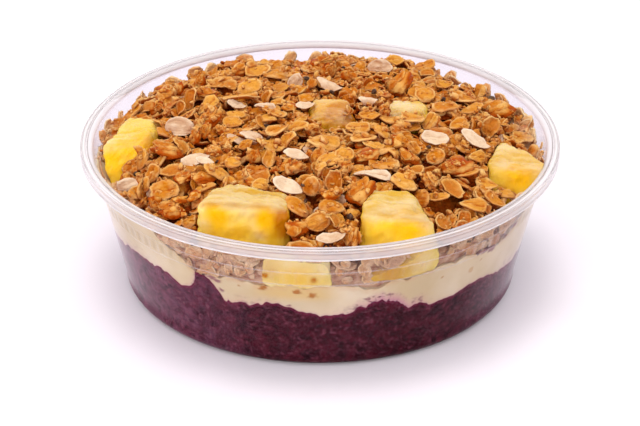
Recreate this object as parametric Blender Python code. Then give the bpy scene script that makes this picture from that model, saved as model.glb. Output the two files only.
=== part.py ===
"""Acai bowl: a clear moulded tub holding acai puree, a poured cream layer, and
granola heaped over and around pineapple chunks. Metres, +Z up, with the origin
at the centre of the tub's foot. Azimuths are in degrees from the front (-Y),
positive towards +X. Run it in Blender, which leaves the model in the scene."""

import math

import bmesh
import bpy
from mathutils import Euler, Matrix, Vector, noise

MM = 0.001

# Tub, an injection-moulded takeaway bowl. Radii are outside ones.
RIM_RADIUS = 79.0 * MM
TUB_HEIGHT = 49.2 * MM
WALL = 0.8 * MM
WALL_TOP_RADIUS = 75.0 * MM
WALL_FOOT_RADIUS = 65.3 * MM
BASE_CORNER = 4.1 * MM
FOOT_RING = 7.0 * MM
BASE_PUSH_UP = 0.6 * MM
SKIRT_DROP = 3.35 * MM
LIP_ROUND = 1.2 * MM
BEAD_ROUND = 0.5 * MM
STACKING_STEP = 0.3 * MM
STEP_LENGTH = 0.5 * MM
STEP_HEIGHTS = (33.4 * MM, 38.4 * MM)

# Facets: the tub's sides, and the cells across each surface of the food.
SEGMENTS = 60
CORNER_STEPS = 3
LAYER_CELLS = 16
HEAP_CELLS = 20
CLEARANCE = 0.3 * MM

# Level of each layer at the wall, and its waves: (azimuth, rise, half width).
ACAI_LEVEL = 22.6 * MM
ACAI_WAVES = (
    (-60, 4.2 * MM, 22),
    (-31.5, 8.4 * MM, 4),
    (-12, 2.4 * MM, 6),
    (3, -2.6 * MM, 7),
    (15, 3.2 * MM, 6),
    (31, -3.2 * MM, 9),
    (47, -0.6 * MM, 6),
    (64, -3.4 * MM, 12),
    (104, 2.2 * MM, 14),
    (136, -1.8 * MM, 11),
    (163, 3.4 * MM, 9),
    (194, -2.4 * MM, 13),
    (222, 4.6 * MM, 6),
    (251, -1.2 * MM, 12),
)
CREAM_LEVEL = 33.2 * MM
CREAM_WAVES = (
    (-84, 9.0 * MM, 24),
    (-48, 3.4 * MM, 8),
    (-6, -2.0 * MM, 10),
    (12, -2.2 * MM, 7),
    (38, 1.4 * MM, 8),
    (82, 9.0 * MM, 18),
    (118, -1.6 * MM, 14),
    (150, 1.8 * MM, 10),
    (180, -1.4 * MM, 12),
    (208, 1.6 * MM, 10),
)
ACAI_MIDDLE = 24.0 * MM
CREAM_MIDDLE = 33.0 * MM
WAVE_REACH = 3.5
THINNEST_LAYER = 1.0 * MM
RING_SPREAD = 0.9

# Granola heap: a low dome, lumpy, lower where it meets the wall.
HEAP_EDGE = 43.4 * MM
HEAP_CROWN = 57.4 * MM
HEAP_ROUNDNESS = 2.5
HEAP_LUMP = 2.2 * MM
LUMP_LENGTH = 11.0 * MM
HEAP_GRAIN = 1.3 * MM
GRAIN_LENGTH = 6.0 * MM
# Clumps and hollows of the heap: (x, y, rise, half width).
HEAP_CLUMPS = (
    (-29 * MM, 58 * MM, 2.6 * MM, 8 * MM),
    (5 * MM, 57 * MM, 2.0 * MM, 12 * MM),
    (31 * MM, 57 * MM, 3.0 * MM, 8 * MM),
    (-9 * MM, 69 * MM, -3.4 * MM, 8 * MM),
    (47 * MM, 51 * MM, -1.6 * MM, 8 * MM),
    (70 * MM, 12 * MM, -3.0 * MM, 11 * MM),
    (-49 * MM, 34 * MM, 1.2 * MM, 10 * MM),
    (-26 * MM, -67 * MM, -1.4 * MM, 8 * MM),
    (20 * MM, -36 * MM, 1.6 * MM, 12 * MM),
    (56 * MM, 14 * MM, 1.6 * MM, 10 * MM),
)

# Pineapple chunks: centre, size, (pitch, roll, yaw) in degrees, and how much
# narrower the top is than the bottom.
CHUNKS = (
    ((-58.6, -1.6, 41.8), (19.0, 29.0, 19.5), (4, -10, -30), 0.10),
    ((-25.0, -51.8, 44.8), (28.5, 20.0, 21.0), (5, 2, 3), 0.04),
    ((25.0, -57.6, 45.8), (26.0, 24.0, 20.5), (3, 3, 8), 0.18),
    ((59.4, -18.6, 42.2), (20.0, 19.5, 19.0), (-3, 9, 32), 0.06),
    ((4.0, 4.5, 50.6), (14.0, 16.5, 15.5), (6, -5, 20), 0.12),
    ((28.6, 9.0, 50.0), (14.0, 13.5, 14.0), (-4, 6, -12), 0.05),
    ((-7.4, -67.9, 38.5), (21.5, 10.5, 13.8), (0, 0, -5), 0.03),
)
CHUNK_EDGE = 0.62
CHUNK_UNEVEN = 0.7 * MM
UNEVEN_LENGTH = 9.0 * MM

COLOURS = {
    "clear_plastic": ((0.90, 0.89, 0.93), 0.12),
    "acai": ((0.085, 0.022, 0.040), 0.45),
    "cream": ((0.86, 0.72, 0.52), 0.35),
    "granola": ((0.50, 0.25, 0.08), 0.75),
    "pineapple": ((0.90, 0.62, 0.12), 0.30),
}


def empty_the_scene():
    for thing in list(bpy.data.objects):
        bpy.data.objects.remove(thing, do_unlink=True)


def material(name):
    colour, roughness = COLOURS[name]
    made = bpy.data.materials.get(name) or bpy.data.materials.new(name)
    made.use_nodes = True
    surface = made.node_tree.nodes["Principled BSDF"]
    surface.inputs["Base Color"].default_value = (*colour, 1.0)
    surface.inputs["Roughness"].default_value = roughness
    surface.inputs["Metallic"].default_value = 0.0
    if name == "clear_plastic":
        surface.inputs["Alpha"].default_value = 0.35
    return made


def add_object(name, bm, slot):
    """Puts a bmesh in the scene as one smooth-shaded object."""
    bmesh.ops.recalc_face_normals(bm, faces=bm.faces)
    mesh = bpy.data.meshes.new(name)
    bm.to_mesh(mesh)
    bm.free()
    mesh.shade_smooth()
    mesh.set_sharp_from_angle(angle=math.radians(35))
    mesh.materials.append(material(slot))
    made = bpy.data.objects.new(name, mesh)
    bpy.context.scene.collection.objects.link(made)
    return made


def make_cutter(thing):
    thing.hide_render = True
    thing.hide_set(True)
    thing.display_type = "WIRE"
    return thing


def arc(centre_r, centre_z, radius, start, end, steps):
    """Points (r, z) on an arc, with the angles in degrees from +r towards +z."""
    turn = [math.radians(start + (end - start) * i / steps) for i in range(steps + 1)]
    return [(centre_r + radius * math.cos(t), centre_z + radius * math.sin(t)) for t in turn]


def wall_radius(z):
    """Outside radius of the plain sloping wall."""
    slope = (WALL_TOP_RADIUS - WALL_FOOT_RADIUS) / (TUB_HEIGHT - SKIRT_DROP - BASE_CORNER)
    return WALL_FOOT_RADIUS + slope * (z - BASE_CORNER)


def inner_radius(z):
    """Inside radius of the wall, above the rounded bottom corner."""
    return wall_radius(z) - WALL


def inner_corner(inset):
    """Points round the inside bottom corner, from the floor up, set in from it."""
    top = BASE_CORNER + WALL
    corner = top - BASE_PUSH_UP - WALL
    return arc(inner_radius(top) - corner, top, corner - inset, -90, 0, CORNER_STEPS)


def revolve(name, profile, slot):
    """A closed solid turned from (r, z) points that start and end on the axis."""
    bm = bmesh.new()
    points = [bm.verts.new((r, 0.0, z)) for r, z in profile]
    edges = [bm.edges.new(pair) for pair in zip(points, points[1:])]
    bmesh.ops.spin(
        bm, geom=points + edges, cent=(0, 0, 0), axis=(0, 0, 1), angle=math.tau, steps=SEGMENTS
    )
    bmesh.ops.remove_doubles(bm, verts=bm.verts, dist=0.001 * MM)
    return add_object(name, bm, slot)


def make_tub():
    """Base with a foot ring, stepped sloping wall, and a flange with a skirt."""
    skirt_foot = TUB_HEIGHT - SKIRT_DROP
    under_flange = TUB_HEIGHT - WALL
    foot_radius = WALL_FOOT_RADIUS - BASE_CORNER
    outside = [(0.0, BASE_PUSH_UP), (foot_radius - FOOT_RING, BASE_PUSH_UP)]
    outside.append((foot_radius - FOOT_RING + BASE_PUSH_UP, 0.0))
    outside += arc(foot_radius, BASE_CORNER, BASE_CORNER, -90, 0, CORNER_STEPS)
    for count, height in enumerate(STEP_HEIGHTS):
        outset = STACKING_STEP * (count - len(STEP_HEIGHTS)) / len(STEP_HEIGHTS)
        next_outset = outset + STACKING_STEP / len(STEP_HEIGHTS)
        outside.append((wall_radius(height) + outset, height))
        outside.append((wall_radius(height + STEP_LENGTH) + next_outset, height + STEP_LENGTH))
    outside.append((wall_radius(under_flange), under_flange))
    skirt = [
        (RIM_RADIUS - WALL, under_flange),
        (RIM_RADIUS - WALL, skirt_foot),
        (RIM_RADIUS, skirt_foot),
    ]
    skirt += arc(RIM_RADIUS - BEAD_ROUND, TUB_HEIGHT - BEAD_ROUND, BEAD_ROUND, 0, 90, 1)
    lip_centre = inner_radius(TUB_HEIGHT - LIP_ROUND) + LIP_ROUND
    lip = arc(lip_centre, TUB_HEIGHT - LIP_ROUND, LIP_ROUND, 90, 180, 2)
    inside = inner_corner(0.0)[::-1] + [(0.0, BASE_PUSH_UP + WALL)]
    return revolve("bowl", outside + skirt + lip + inside, "clear_plastic")


def make_tub_space():
    """Everything inside the tub and above it, used to trim what presses on the wall."""
    far_above = 1.6 * TUB_HEIGHT
    profile = [(0.0, BASE_PUSH_UP + WALL + CLEARANCE)] + inner_corner(CLEARANCE)
    profile += [(inner_radius(far_above) - CLEARANCE, far_above), (0.0, far_above)]
    return make_cutter(revolve("tub_space", profile, "clear_plastic"))


def swell(distance, half_width):
    """A smooth bump: 1 at its middle, about a half at its half width."""
    return math.exp(-0.69 * (distance / half_width) ** 2)


def level_at_wall(azimuth, level, waves):
    total = level
    for middle, rise, half_width in waves:
        away = (azimuth - middle + 180.0) % 360.0 - 180.0
        total += rise * swell(away, half_width)
    return total


def acai_top(azimuth, share):
    """Height of the puree's surface; its waves die away from the wall inwards."""
    wall_level = level_at_wall(azimuth, ACAI_LEVEL, ACAI_WAVES)
    return ACAI_MIDDLE + (wall_level - ACAI_MIDDLE) * share**WAVE_REACH


def cream_top(azimuth, share):
    wall_level = level_at_wall(azimuth, CREAM_LEVEL, CREAM_WAVES)
    height = CREAM_MIDDLE + (wall_level - CREAM_MIDDLE) * share ** (2 * WAVE_REACH)
    return max(height, acai_top(azimuth, share) + CLEARANCE + THINNEST_LAYER)


def heap_top(azimuth, share):
    """Height of the granola: a dome with clumps, lumps and grain."""
    radius = share * inner_radius(HEAP_EDGE)
    x = radius * math.sin(math.radians(azimuth))
    y = -radius * math.cos(math.radians(azimuth))
    height = HEAP_EDGE + (HEAP_CROWN - HEAP_EDGE) * (1.0 - share**HEAP_ROUNDNESS)
    for middle_x, middle_y, rise, half_width in HEAP_CLUMPS:
        height += rise * swell(math.hypot(x - middle_x, y - middle_y), half_width)
    lumps = noise.noise(Vector((x / LUMP_LENGTH, y / LUMP_LENGTH, 2.0)))
    grain = noise.noise(Vector((x / GRAIN_LENGTH, y / GRAIN_LENGTH, 7.0)))
    height += HEAP_LUMP * lumps + HEAP_GRAIN * grain
    return max(height, cream_top(azimuth, share) + CLEARANCE + THINNEST_LAYER)


def wall_point(azimuth, radius, height):
    turn = math.radians(azimuth)
    return Vector((radius * math.sin(turn), -radius * math.cos(turn), height))


def add_surface(bm, cells, height_at, lift=0.0):
    """Adds a round sheet of square cells that reaches the wall, and returns its edge.
    Each square ring of a grid becomes a circle, so its cells stay about one size."""
    grid = bmesh.ops.create_grid(bm, x_segments=cells, y_segments=cells, size=1.0)
    for vert in grid["verts"]:
        across, along = vert.co.x, vert.co.y
        ring = max(abs(across), abs(along))
        turn = 0.0
        if ring > 0.0:
            slant = 45.0 * min(abs(across), abs(along)) / ring
            turn = slant if abs(across) <= abs(along) else 90.0 - slant
        azimuth = math.copysign(turn if along <= 0.0 else 180.0 - turn, across)
        share = ring**RING_SPREAD
        reach = inner_radius(height_at(azimuth, 1.0) + lift) - CLEARANCE
        vert.co = wall_point(azimuth, share * reach, height_at(azimuth, share) + lift)
    sheet = {edge for vert in grid["verts"] for edge in vert.link_edges}
    return [edge for edge in sheet if edge.is_boundary]


def make_layer(name, slot, under, over):
    """A solid between two surfaces, each given as (cells, height function, lift)."""
    bm = bmesh.new()
    edges = add_surface(bm, *under) + add_surface(bm, *over)
    bmesh.ops.bridge_loops(bm, edges=edges)
    bmesh.ops.triangulate(bm, faces=bm.faces)
    return add_object(name, bm, slot)


def make_acai():
    """The puree fills the bottom of the tub, round its corner, up to its own surface."""
    bm = bmesh.new()
    rim = add_surface(bm, LAYER_CELLS, acai_top)
    floor = inner_corner(CLEARANCE)
    for radius, height in floor[::-1]:
        grown = bmesh.ops.extrude_edge_only(bm, edges=rim)["geom"]
        for vert in (part for part in grown if isinstance(part, bmesh.types.BMVert)):
            flat = Vector((vert.co.x, vert.co.y))
            vert.co = (*(flat.normalized() * radius), height)
        rim = [part for part in grown if isinstance(part, bmesh.types.BMEdge)]
    bmesh.ops.contextual_create(bm, geom=rim)
    bmesh.ops.triangulate(bm, faces=bm.faces)
    return add_object("acai_layer", bm, "acai")


def rounded(share):
    """Moves a cube's point, -1 to 1 on each axis, onto the same cube with round edges."""
    core = Vector([max(-CHUNK_EDGE, min(CHUNK_EDGE, value)) for value in share])
    outward = share - core
    return core + outward.normalized() * (1.0 - CHUNK_EDGE)


def make_chunk(name, count, grow=0.0):
    """One soft-edged, slightly uneven cube of fruit, or its larger cutter."""
    centre, size, turns, taper = CHUNKS[count]
    half = Vector([value * MM / 2.0 + grow for value in size])
    bm = bmesh.new()
    bmesh.ops.create_cube(bm, size=2.0)
    bmesh.ops.subdivide_edges(bm, edges=bm.edges, cuts=3, use_grid_fill=True)
    for vert in bm.verts:
        spread = Vector([math.copysign(abs(v) ** 0.69, v) for v in vert.co])
        shape = rounded(spread)
        place = Vector([a * b for a, b in zip(shape, half)])
        place.xy *= 1.0 - taper * shape.z
        seat = place / UNEVEN_LENGTH + Vector((7.0 * count, 3.0, 1.0))
        vert.co = place + shape.normalized() * CHUNK_UNEVEN * noise.noise(seat)
    chunk = add_object(name, bm, "pineapple")
    turn = Euler([math.radians(value) for value in turns], "XYZ").to_matrix().to_4x4()
    chunk.matrix_world = Matrix.Translation(Vector(centre) * MM) @ turn
    return chunk


def add_boolean(target, cutter, operation):
    cut = target.modifiers.new(cutter.name, "BOOLEAN")
    cut.operation = operation
    cut.solver = "EXACT"
    cut.object = cutter


def make_food():
    tub_space = make_tub_space()
    make_acai()
    on_acai = (LAYER_CELLS, acai_top, CLEARANCE)
    cream = make_layer("cream_layer", "cream", on_acai, (LAYER_CELLS, cream_top))
    on_cream = (LAYER_CELLS, cream_top, CLEARANCE)
    heap = make_layer("granola_heap", "granola", on_cream, (HEAP_CELLS, heap_top))
    for count in range(len(CHUNKS)):
        chunk = make_chunk(f"pineapple_{count + 1}", count)
        add_boolean(chunk, tub_space, "INTERSECT")
        seat = make_cutter(make_chunk(f"seat_{count + 1}", count, grow=CLEARANCE))
        add_boolean(cream, seat, "DIFFERENCE")
        add_boolean(heap, seat, "DIFFERENCE")


empty_the_scene()
make_tub()
make_food()
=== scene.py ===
"""Acai bowl: a clear moulded tub of acai puree and cream, heaped with granola
round chunks of pineapple. Shapes are worked out in millimetres and stored in
metres. Azimuths run in degrees from the front (-Y), positive towards +X."""

import math

import bmesh
import bpy
import numpy as np
from mathutils import Euler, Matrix, Quaternion, Vector, noise
from mathutils.bvhtree import BVHTree


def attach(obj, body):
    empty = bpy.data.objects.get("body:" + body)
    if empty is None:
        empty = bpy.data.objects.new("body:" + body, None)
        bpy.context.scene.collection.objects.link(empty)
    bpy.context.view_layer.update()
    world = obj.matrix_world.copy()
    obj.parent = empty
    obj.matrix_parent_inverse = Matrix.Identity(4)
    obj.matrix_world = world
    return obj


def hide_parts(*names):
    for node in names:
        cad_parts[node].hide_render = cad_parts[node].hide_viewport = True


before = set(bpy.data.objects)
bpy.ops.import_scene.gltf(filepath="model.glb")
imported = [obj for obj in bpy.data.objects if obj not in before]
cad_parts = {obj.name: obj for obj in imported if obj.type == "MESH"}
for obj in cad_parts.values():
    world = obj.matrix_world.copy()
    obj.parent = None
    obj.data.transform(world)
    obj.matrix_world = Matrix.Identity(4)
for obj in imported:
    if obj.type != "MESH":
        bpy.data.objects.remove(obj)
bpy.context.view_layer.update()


# ---------------------------------------------------------------------------
# Tub. A round takeaway tub of thin clear polypropylene, moulded in one shot:
# a rounded base on a foot ring, a sloping wall with two stacking steps and
# fine ribs between them, and a flange that turns down in a beaded skirt.
# ---------------------------------------------------------------------------

MM = 0.001
AROUND = 600
AZIMUTHS = np.arange(AROUND) * 360.0 / AROUND
# Millimetres along the wall in a degree.
DEGREE = 1.27
TUB_HEIGHT = 49.2
WALL = 0.8
RIM_RADIUS = 79.0
SKIRT_FOOT = 45.85
BASE_CORNER = 4.1
BASE_PUSH_UP = 0.6
WALL_FOOT_RADIUS = 65.3
WALL_TOP_RADIUS = 75.0
WALL_SLOPE = (WALL_TOP_RADIUS - WALL_FOOT_RADIUS) / (SKIRT_FOOT - BASE_CORNER)
LIP_ROUND = 1.2
STEP_HEIGHTS = (33.4, 38.4)
STEP_DEPTH = 0.12
STEP_MILK = 0.34
RIB_COUNT = 120
RIB_DEPTH = 0.16
RIB_FOOT, RIB_HEAD = 34.3, 37.9
# The tub's outline in points of radius, height and how milky the plastic is there.
FOOT_RING = (
    (6.0, 0.6, 0.0), (48.0, 0.6, 0.0), (53.6, 0.6, 0.0), (54.1, 0.5, 0.1), (54.5, 0.14, 0.2),
    (54.9, 0.0, 0.2), (58.0, 0.0, 0.0),
)
SKIRT_AND_BEADS = (
    (78.99, 46.3, 0.6), (78.9, 46.5, 0.4), (78.86, 46.7, 0.34), (78.92, 46.9, 0.42),
    (78.97, 47.2, 0.48), (78.97, 47.7, 0.48), (78.92, 48.0, 0.42), (78.84, 48.2, 0.3),
    (78.84, 48.35, 0.3), (78.92, 48.5, 0.44), (78.97, 48.7, 0.58), (78.9, 48.95, 0.5),
    (78.74, 49.1, 0.3), (78.5, 49.14, 0.28), (78.2, 49.16, 0.5), (77.95, 49.26, 0.85),
    (77.6, 49.26, 0.85), (77.35, 49.14, 0.5), (77.0, 49.0, 0.3), (76.5, 49.0, 0.3),
)


def wall_radius(height):
    """Outside radius of the plain sloping wall."""
    return WALL_FOOT_RADIUS + WALL_SLOPE * (height - BASE_CORNER)


def inner_radius(height):
    return wall_radius(height) - WALL


def arc(centre_r, centre_z, radius, start, end, steps):
    """Points (r, z) on an arc, with the angles in degrees from +r towards +z."""
    turn = np.radians(np.linspace(start, end, steps + 1))
    return list(zip(centre_r + radius * np.cos(turn), centre_z + radius * np.sin(turn)))


def inner_corner(outset, steps=8):
    """Points round the tub's inside bottom corner, from the floor up."""
    top = BASE_CORNER + WALL
    corner = top - BASE_PUSH_UP - WALL
    return arc(inner_radius(top) - corner, top, corner + outset, -90, 0, steps)


def smooth_step(values, low, high):
    share = np.clip((np.asarray(values, float) - low) / (high - low), 0.0, 1.0)
    return share * share * (3.0 - 2.0 * share)


def bell(away, width, fall=1.0, power=2):
    """1 in the middle and nearing 0 beyond the width."""
    return np.exp(-fall * (away / width) ** power)


def turn_from(azimuths, middle):
    """Degrees round from a middle, from -180 to 180."""
    return (azimuths - middle + 180.0) % 360.0 - 180.0


def mesh_piece(name, points, faces, materials, face_material=None, marks=None):
    """One smooth-shaded object from points in millimetres and equal-sized faces."""
    faces = np.asarray(faces, np.int32)
    corners = faces.shape[1]
    mesh = bpy.data.meshes.new(name)
    mesh.vertices.add(len(points))
    mesh.vertices.foreach_set("co", (np.asarray(points, float) * MM).astype(np.float32).ravel())
    mesh.loops.add(faces.size)
    mesh.loops.foreach_set("vertex_index", faces.ravel())
    mesh.polygons.add(len(faces))
    mesh.polygons.foreach_set("loop_start", np.arange(0, faces.size, corners, dtype=np.int32))
    for made in materials:
        mesh.materials.append(made)
    if face_material is not None:
        mesh.polygons.foreach_set("material_index", np.asarray(face_material, np.int32))
    mesh.update(calc_edges=True)
    for mark, values in (marks or {}).items():
        values = np.asarray(values, np.float32)
        kind, field = ("FLOAT", "value") if values.ndim == 1 else ("FLOAT_VECTOR", "vector")
        layer = mesh.attributes.new(mark, kind, "POINT")
        layer.data.foreach_set(field, values.ravel())
    mesh.shade_smooth()
    piece = bpy.data.objects.new(name, mesh)
    bpy.context.scene.collection.objects.link(piece)
    return piece


def turned(radii, heights, around=AROUND):
    """Points and triangles of a closed turned form whose rows may vary round it.
    The first and last rows are drawn together into one point on the axis."""
    radii = np.broadcast_to(np.asarray(radii, float), (len(radii), around))
    heights = np.broadcast_to(np.asarray(heights, float), radii.shape)
    turn = np.arange(around) * math.tau / around
    rows = np.stack([radii * np.sin(turn), -radii * np.cos(turn), heights], -1)
    count = len(rows)
    points = np.concatenate(
        [rows.reshape(-1, 3), [[0, 0, heights[0].mean()], [0, 0, heights[-1].mean()]]]
    )
    here = np.arange(around)
    after = (here + 1) % around
    low = (np.arange(count - 1)[:, None] * around + here).ravel()
    low_after = (np.arange(count - 1)[:, None] * around + after).ravel()
    sides = np.concatenate(
        [
            np.stack([low, low_after, low_after + around], 1),
            np.stack([low, low_after + around, low + around], 1),
        ]
    )
    last = (count - 1) * around
    foot = np.stack([np.full(around, count * around), after, here], 1)
    head = np.stack([np.full(around, count * around + 1), last + here, last + after], 1)
    return points, np.concatenate([sides, foot, head])


def with_poles(rows, foot=0.0, head=0.0):
    """Values along a turned form's rows, with those of the two points that close it."""
    return np.append(np.ravel(rows), [foot, head])


def put(tree, kind, inputs=None, **settings):
    """Adds a shader node; each input takes a value, or another node's output."""
    made = tree.nodes.new("ShaderNode" + kind)
    for name, value in settings.items():
        setattr(made, name, value)
    for name, value in (inputs or {}).items():
        if isinstance(value, bpy.types.NodeSocket):
            tree.links.new(value, made.inputs[name])
        else:
            made.inputs[name].default_value = value
    return made


def mark(tree, name):
    """What a piece's mesh holds under a name at each point."""
    return put(tree, "Attribute", attribute_name=name).outputs["Fac"]


def stretched(tree, place, *scale):
    """Coordinates scaled unevenly, so that a pattern laid on them runs one way."""
    return put(tree, "Mapping", {"Vector": place, "Scale": scale}).outputs[0]


def noise_at(tree, place, scale, detail):
    inputs = {"Vector": place, "Scale": scale, "Detail": detail}
    return put(tree, "TexNoise", inputs).outputs["Fac"]


def spread(tree, value, low, high, to_low=0.0, to_high=1.0):
    """Maps a value's range low to high onto another range, clamped."""
    inputs = {"Value": value, "From Min": low, "From Max": high}
    inputs |= {"To Min": to_low, "To Max": to_high}
    return put(tree, "MapRange", inputs).outputs[0]


def combine(tree, operation, first, *others):
    """The result of one operation carried through a row of values."""
    for other in others:
        first = put(tree, "Math", {0: first, 1: other}, operation=operation).outputs[0]
    return first


def inverse(tree, share):
    return combine(tree, "SUBTRACT", 1.0, share)


def rgb(red, green, blue):
    """A linear colour from the 0 to 255 numbers a colour picker shows."""
    parts = np.array([red, green, blue]) / 255.0
    linear = np.where(parts <= 0.04045, parts / 12.92, ((parts + 0.055) / 1.055) ** 2.4)
    return (*linear.tolist(), 1.0)


def blend_colours(tree, share, under, over, mode="MIX"):
    mix = put(tree, "Mix", {0: share, 6: under, 7: over}, data_type="RGBA", blend_type=mode)
    return mix.outputs[2]


def paint(tree, colour, *coats):
    """Lays coats over a colour, each a mask, the most that it covers, and its shade."""
    for share, most, shade in coats:
        covered = combine(tree, "MULTIPLY", share, most)
        colour = blend_colours(tree, covered, colour, rgb(*shade))
    return colour


def make_mottle():
    """A group of soft uneven patches in two colours, with the mask that lays them out."""
    group = bpy.data.node_groups.new("mottle", "ShaderNodeTree")
    inputs = {"Place": "Vector", "Scale": "Float", "Detail": "Float", "Softness": "Float"}
    inputs |= {"Level": "Float", "Dark": "Color", "Light": "Color"}
    for way, sockets in (("INPUT", inputs), ("OUTPUT", {"Colour": "Color", "Mask": "Float"})):
        for name, kind in sockets.items():
            group.interface.new_socket(name=name, in_out=way, socket_type="NodeSocket" + kind)
    given = group.nodes.new("NodeGroupInput").outputs
    end = group.nodes.new("NodeGroupOutput").inputs
    low = combine(group, "SUBTRACT", given["Level"], given["Softness"])
    high = combine(group, "ADD", given["Level"], given["Softness"])
    patches = noise_at(group, given["Place"], given["Scale"], given["Detail"])
    mask = spread(group, patches, low, high)
    group.links.new(blend_colours(group, mask, given["Dark"], given["Light"]), end["Colour"])
    group.links.new(mask, end["Mask"])
    return group


MOTTLE = make_mottle()
BLACK, WHITE = (0, 0, 0), (255, 255, 255)


def mottled(tree, place, scale, detail=3.0, softness=0.15, level=0.5, dark=BLACK, light=WHITE):
    """Places the mottle group in a material: its outputs are Colour and Mask."""
    made = tree.nodes.new("ShaderNodeGroup")
    made.node_tree = MOTTLE
    tree.links.new(place, made.inputs["Place"])
    settings = {"Scale": scale, "Detail": detail, "Softness": softness, "Level": level}
    settings |= {"Dark": rgb(*dark), "Light": rgb(*light)}
    for name, value in settings.items():
        made.inputs[name].default_value = value
    return made.outputs


def new_material(name):
    """A material emptied of its nodes: returns it, its tree and its coordinates."""
    made = bpy.data.materials.new(name)
    made.use_nodes = True
    tree = made.node_tree
    tree.nodes.clear()
    return made, tree, put(tree, "TexCoord").outputs["Object"]


def bumped(tree, height, strength, distance):
    inputs = {"Height": height, "Strength": strength, "Distance": distance}
    return put(tree, "Bump", inputs).outputs["Normal"]


def shaded(tree, colour, roughness, normal, more=None):
    inputs = {"Base Color": colour, "Roughness": roughness, "Normal": normal}
    return put(tree, "BsdfPrincipled", inputs | (more or {})).outputs[0]


def finish_material(tree, shader):
    end = tree.nodes.new("ShaderNodeOutputMaterial")
    tree.links.new(shader, end.inputs["Surface"])


def lifted(shade):
    return tuple(min(255, value + 7) for value in shade)


def clear_plastic(name, tint, veil, thick_veil, roughness, refraction):
    """Clear moulded plastic under a thin milky veil, which thickens where the wall
    turns away and along the moulded lines. Lamps shine through it onto what it holds."""
    made, tree, place = new_material(name)
    flow = mottled(tree, place, 35.0, softness=0.2, dark=tint, light=lifted(tint))
    normal = bumped(tree, noise_at(tree, place, 60.0, 1.0), 0.05, 0.0004)
    # The rib mark tints the plastic darker in the rib valleys: painted shade for the dark lines that the
    # ribs refract.
    tinted = paint(tree, flow["Colour"], (mark(tree, "rib"), 0.5, (150, 136, 130)))
    through = {"IOR": refraction, "Transmission Weight": 1.0}
    clear = shaded(tree, tinted, roughness, normal, through)
    milk = mottled(tree, place, 90.0, softness=0.3, dark=veil, light=lifted(veil))
    milky = shaded(tree, milk["Colour"], 0.25, normal)
    facing = put(tree, "LayerWeight", {"Blend": 0.5}).outputs["Facing"]
    turned_away = combine(tree, "POWER", spread(tree, facing, 0.4, 1.0), 2.2)
    haze = combine(tree, "MULTIPLY", turned_away, mark(tree, "haze"), thick_veil)
    share = combine(tree, "MAXIMUM", haze, mark(tree, "milk"))
    skin = put(tree, "MixShader", {0: share, 1: clear, 2: milky}).outputs[0]
    lamp_ray = put(tree, "LightPath").outputs["Is Shadow Ray"]
    passing = put(tree, "BsdfTransparent", {"Color": (0.96, 0.95, 0.96, 1.0)}).outputs[0]
    finish_material(tree, put(tree, "MixShader", {0: lamp_ray, 1: skin, 2: passing}).outputs[0])
    return made


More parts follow.
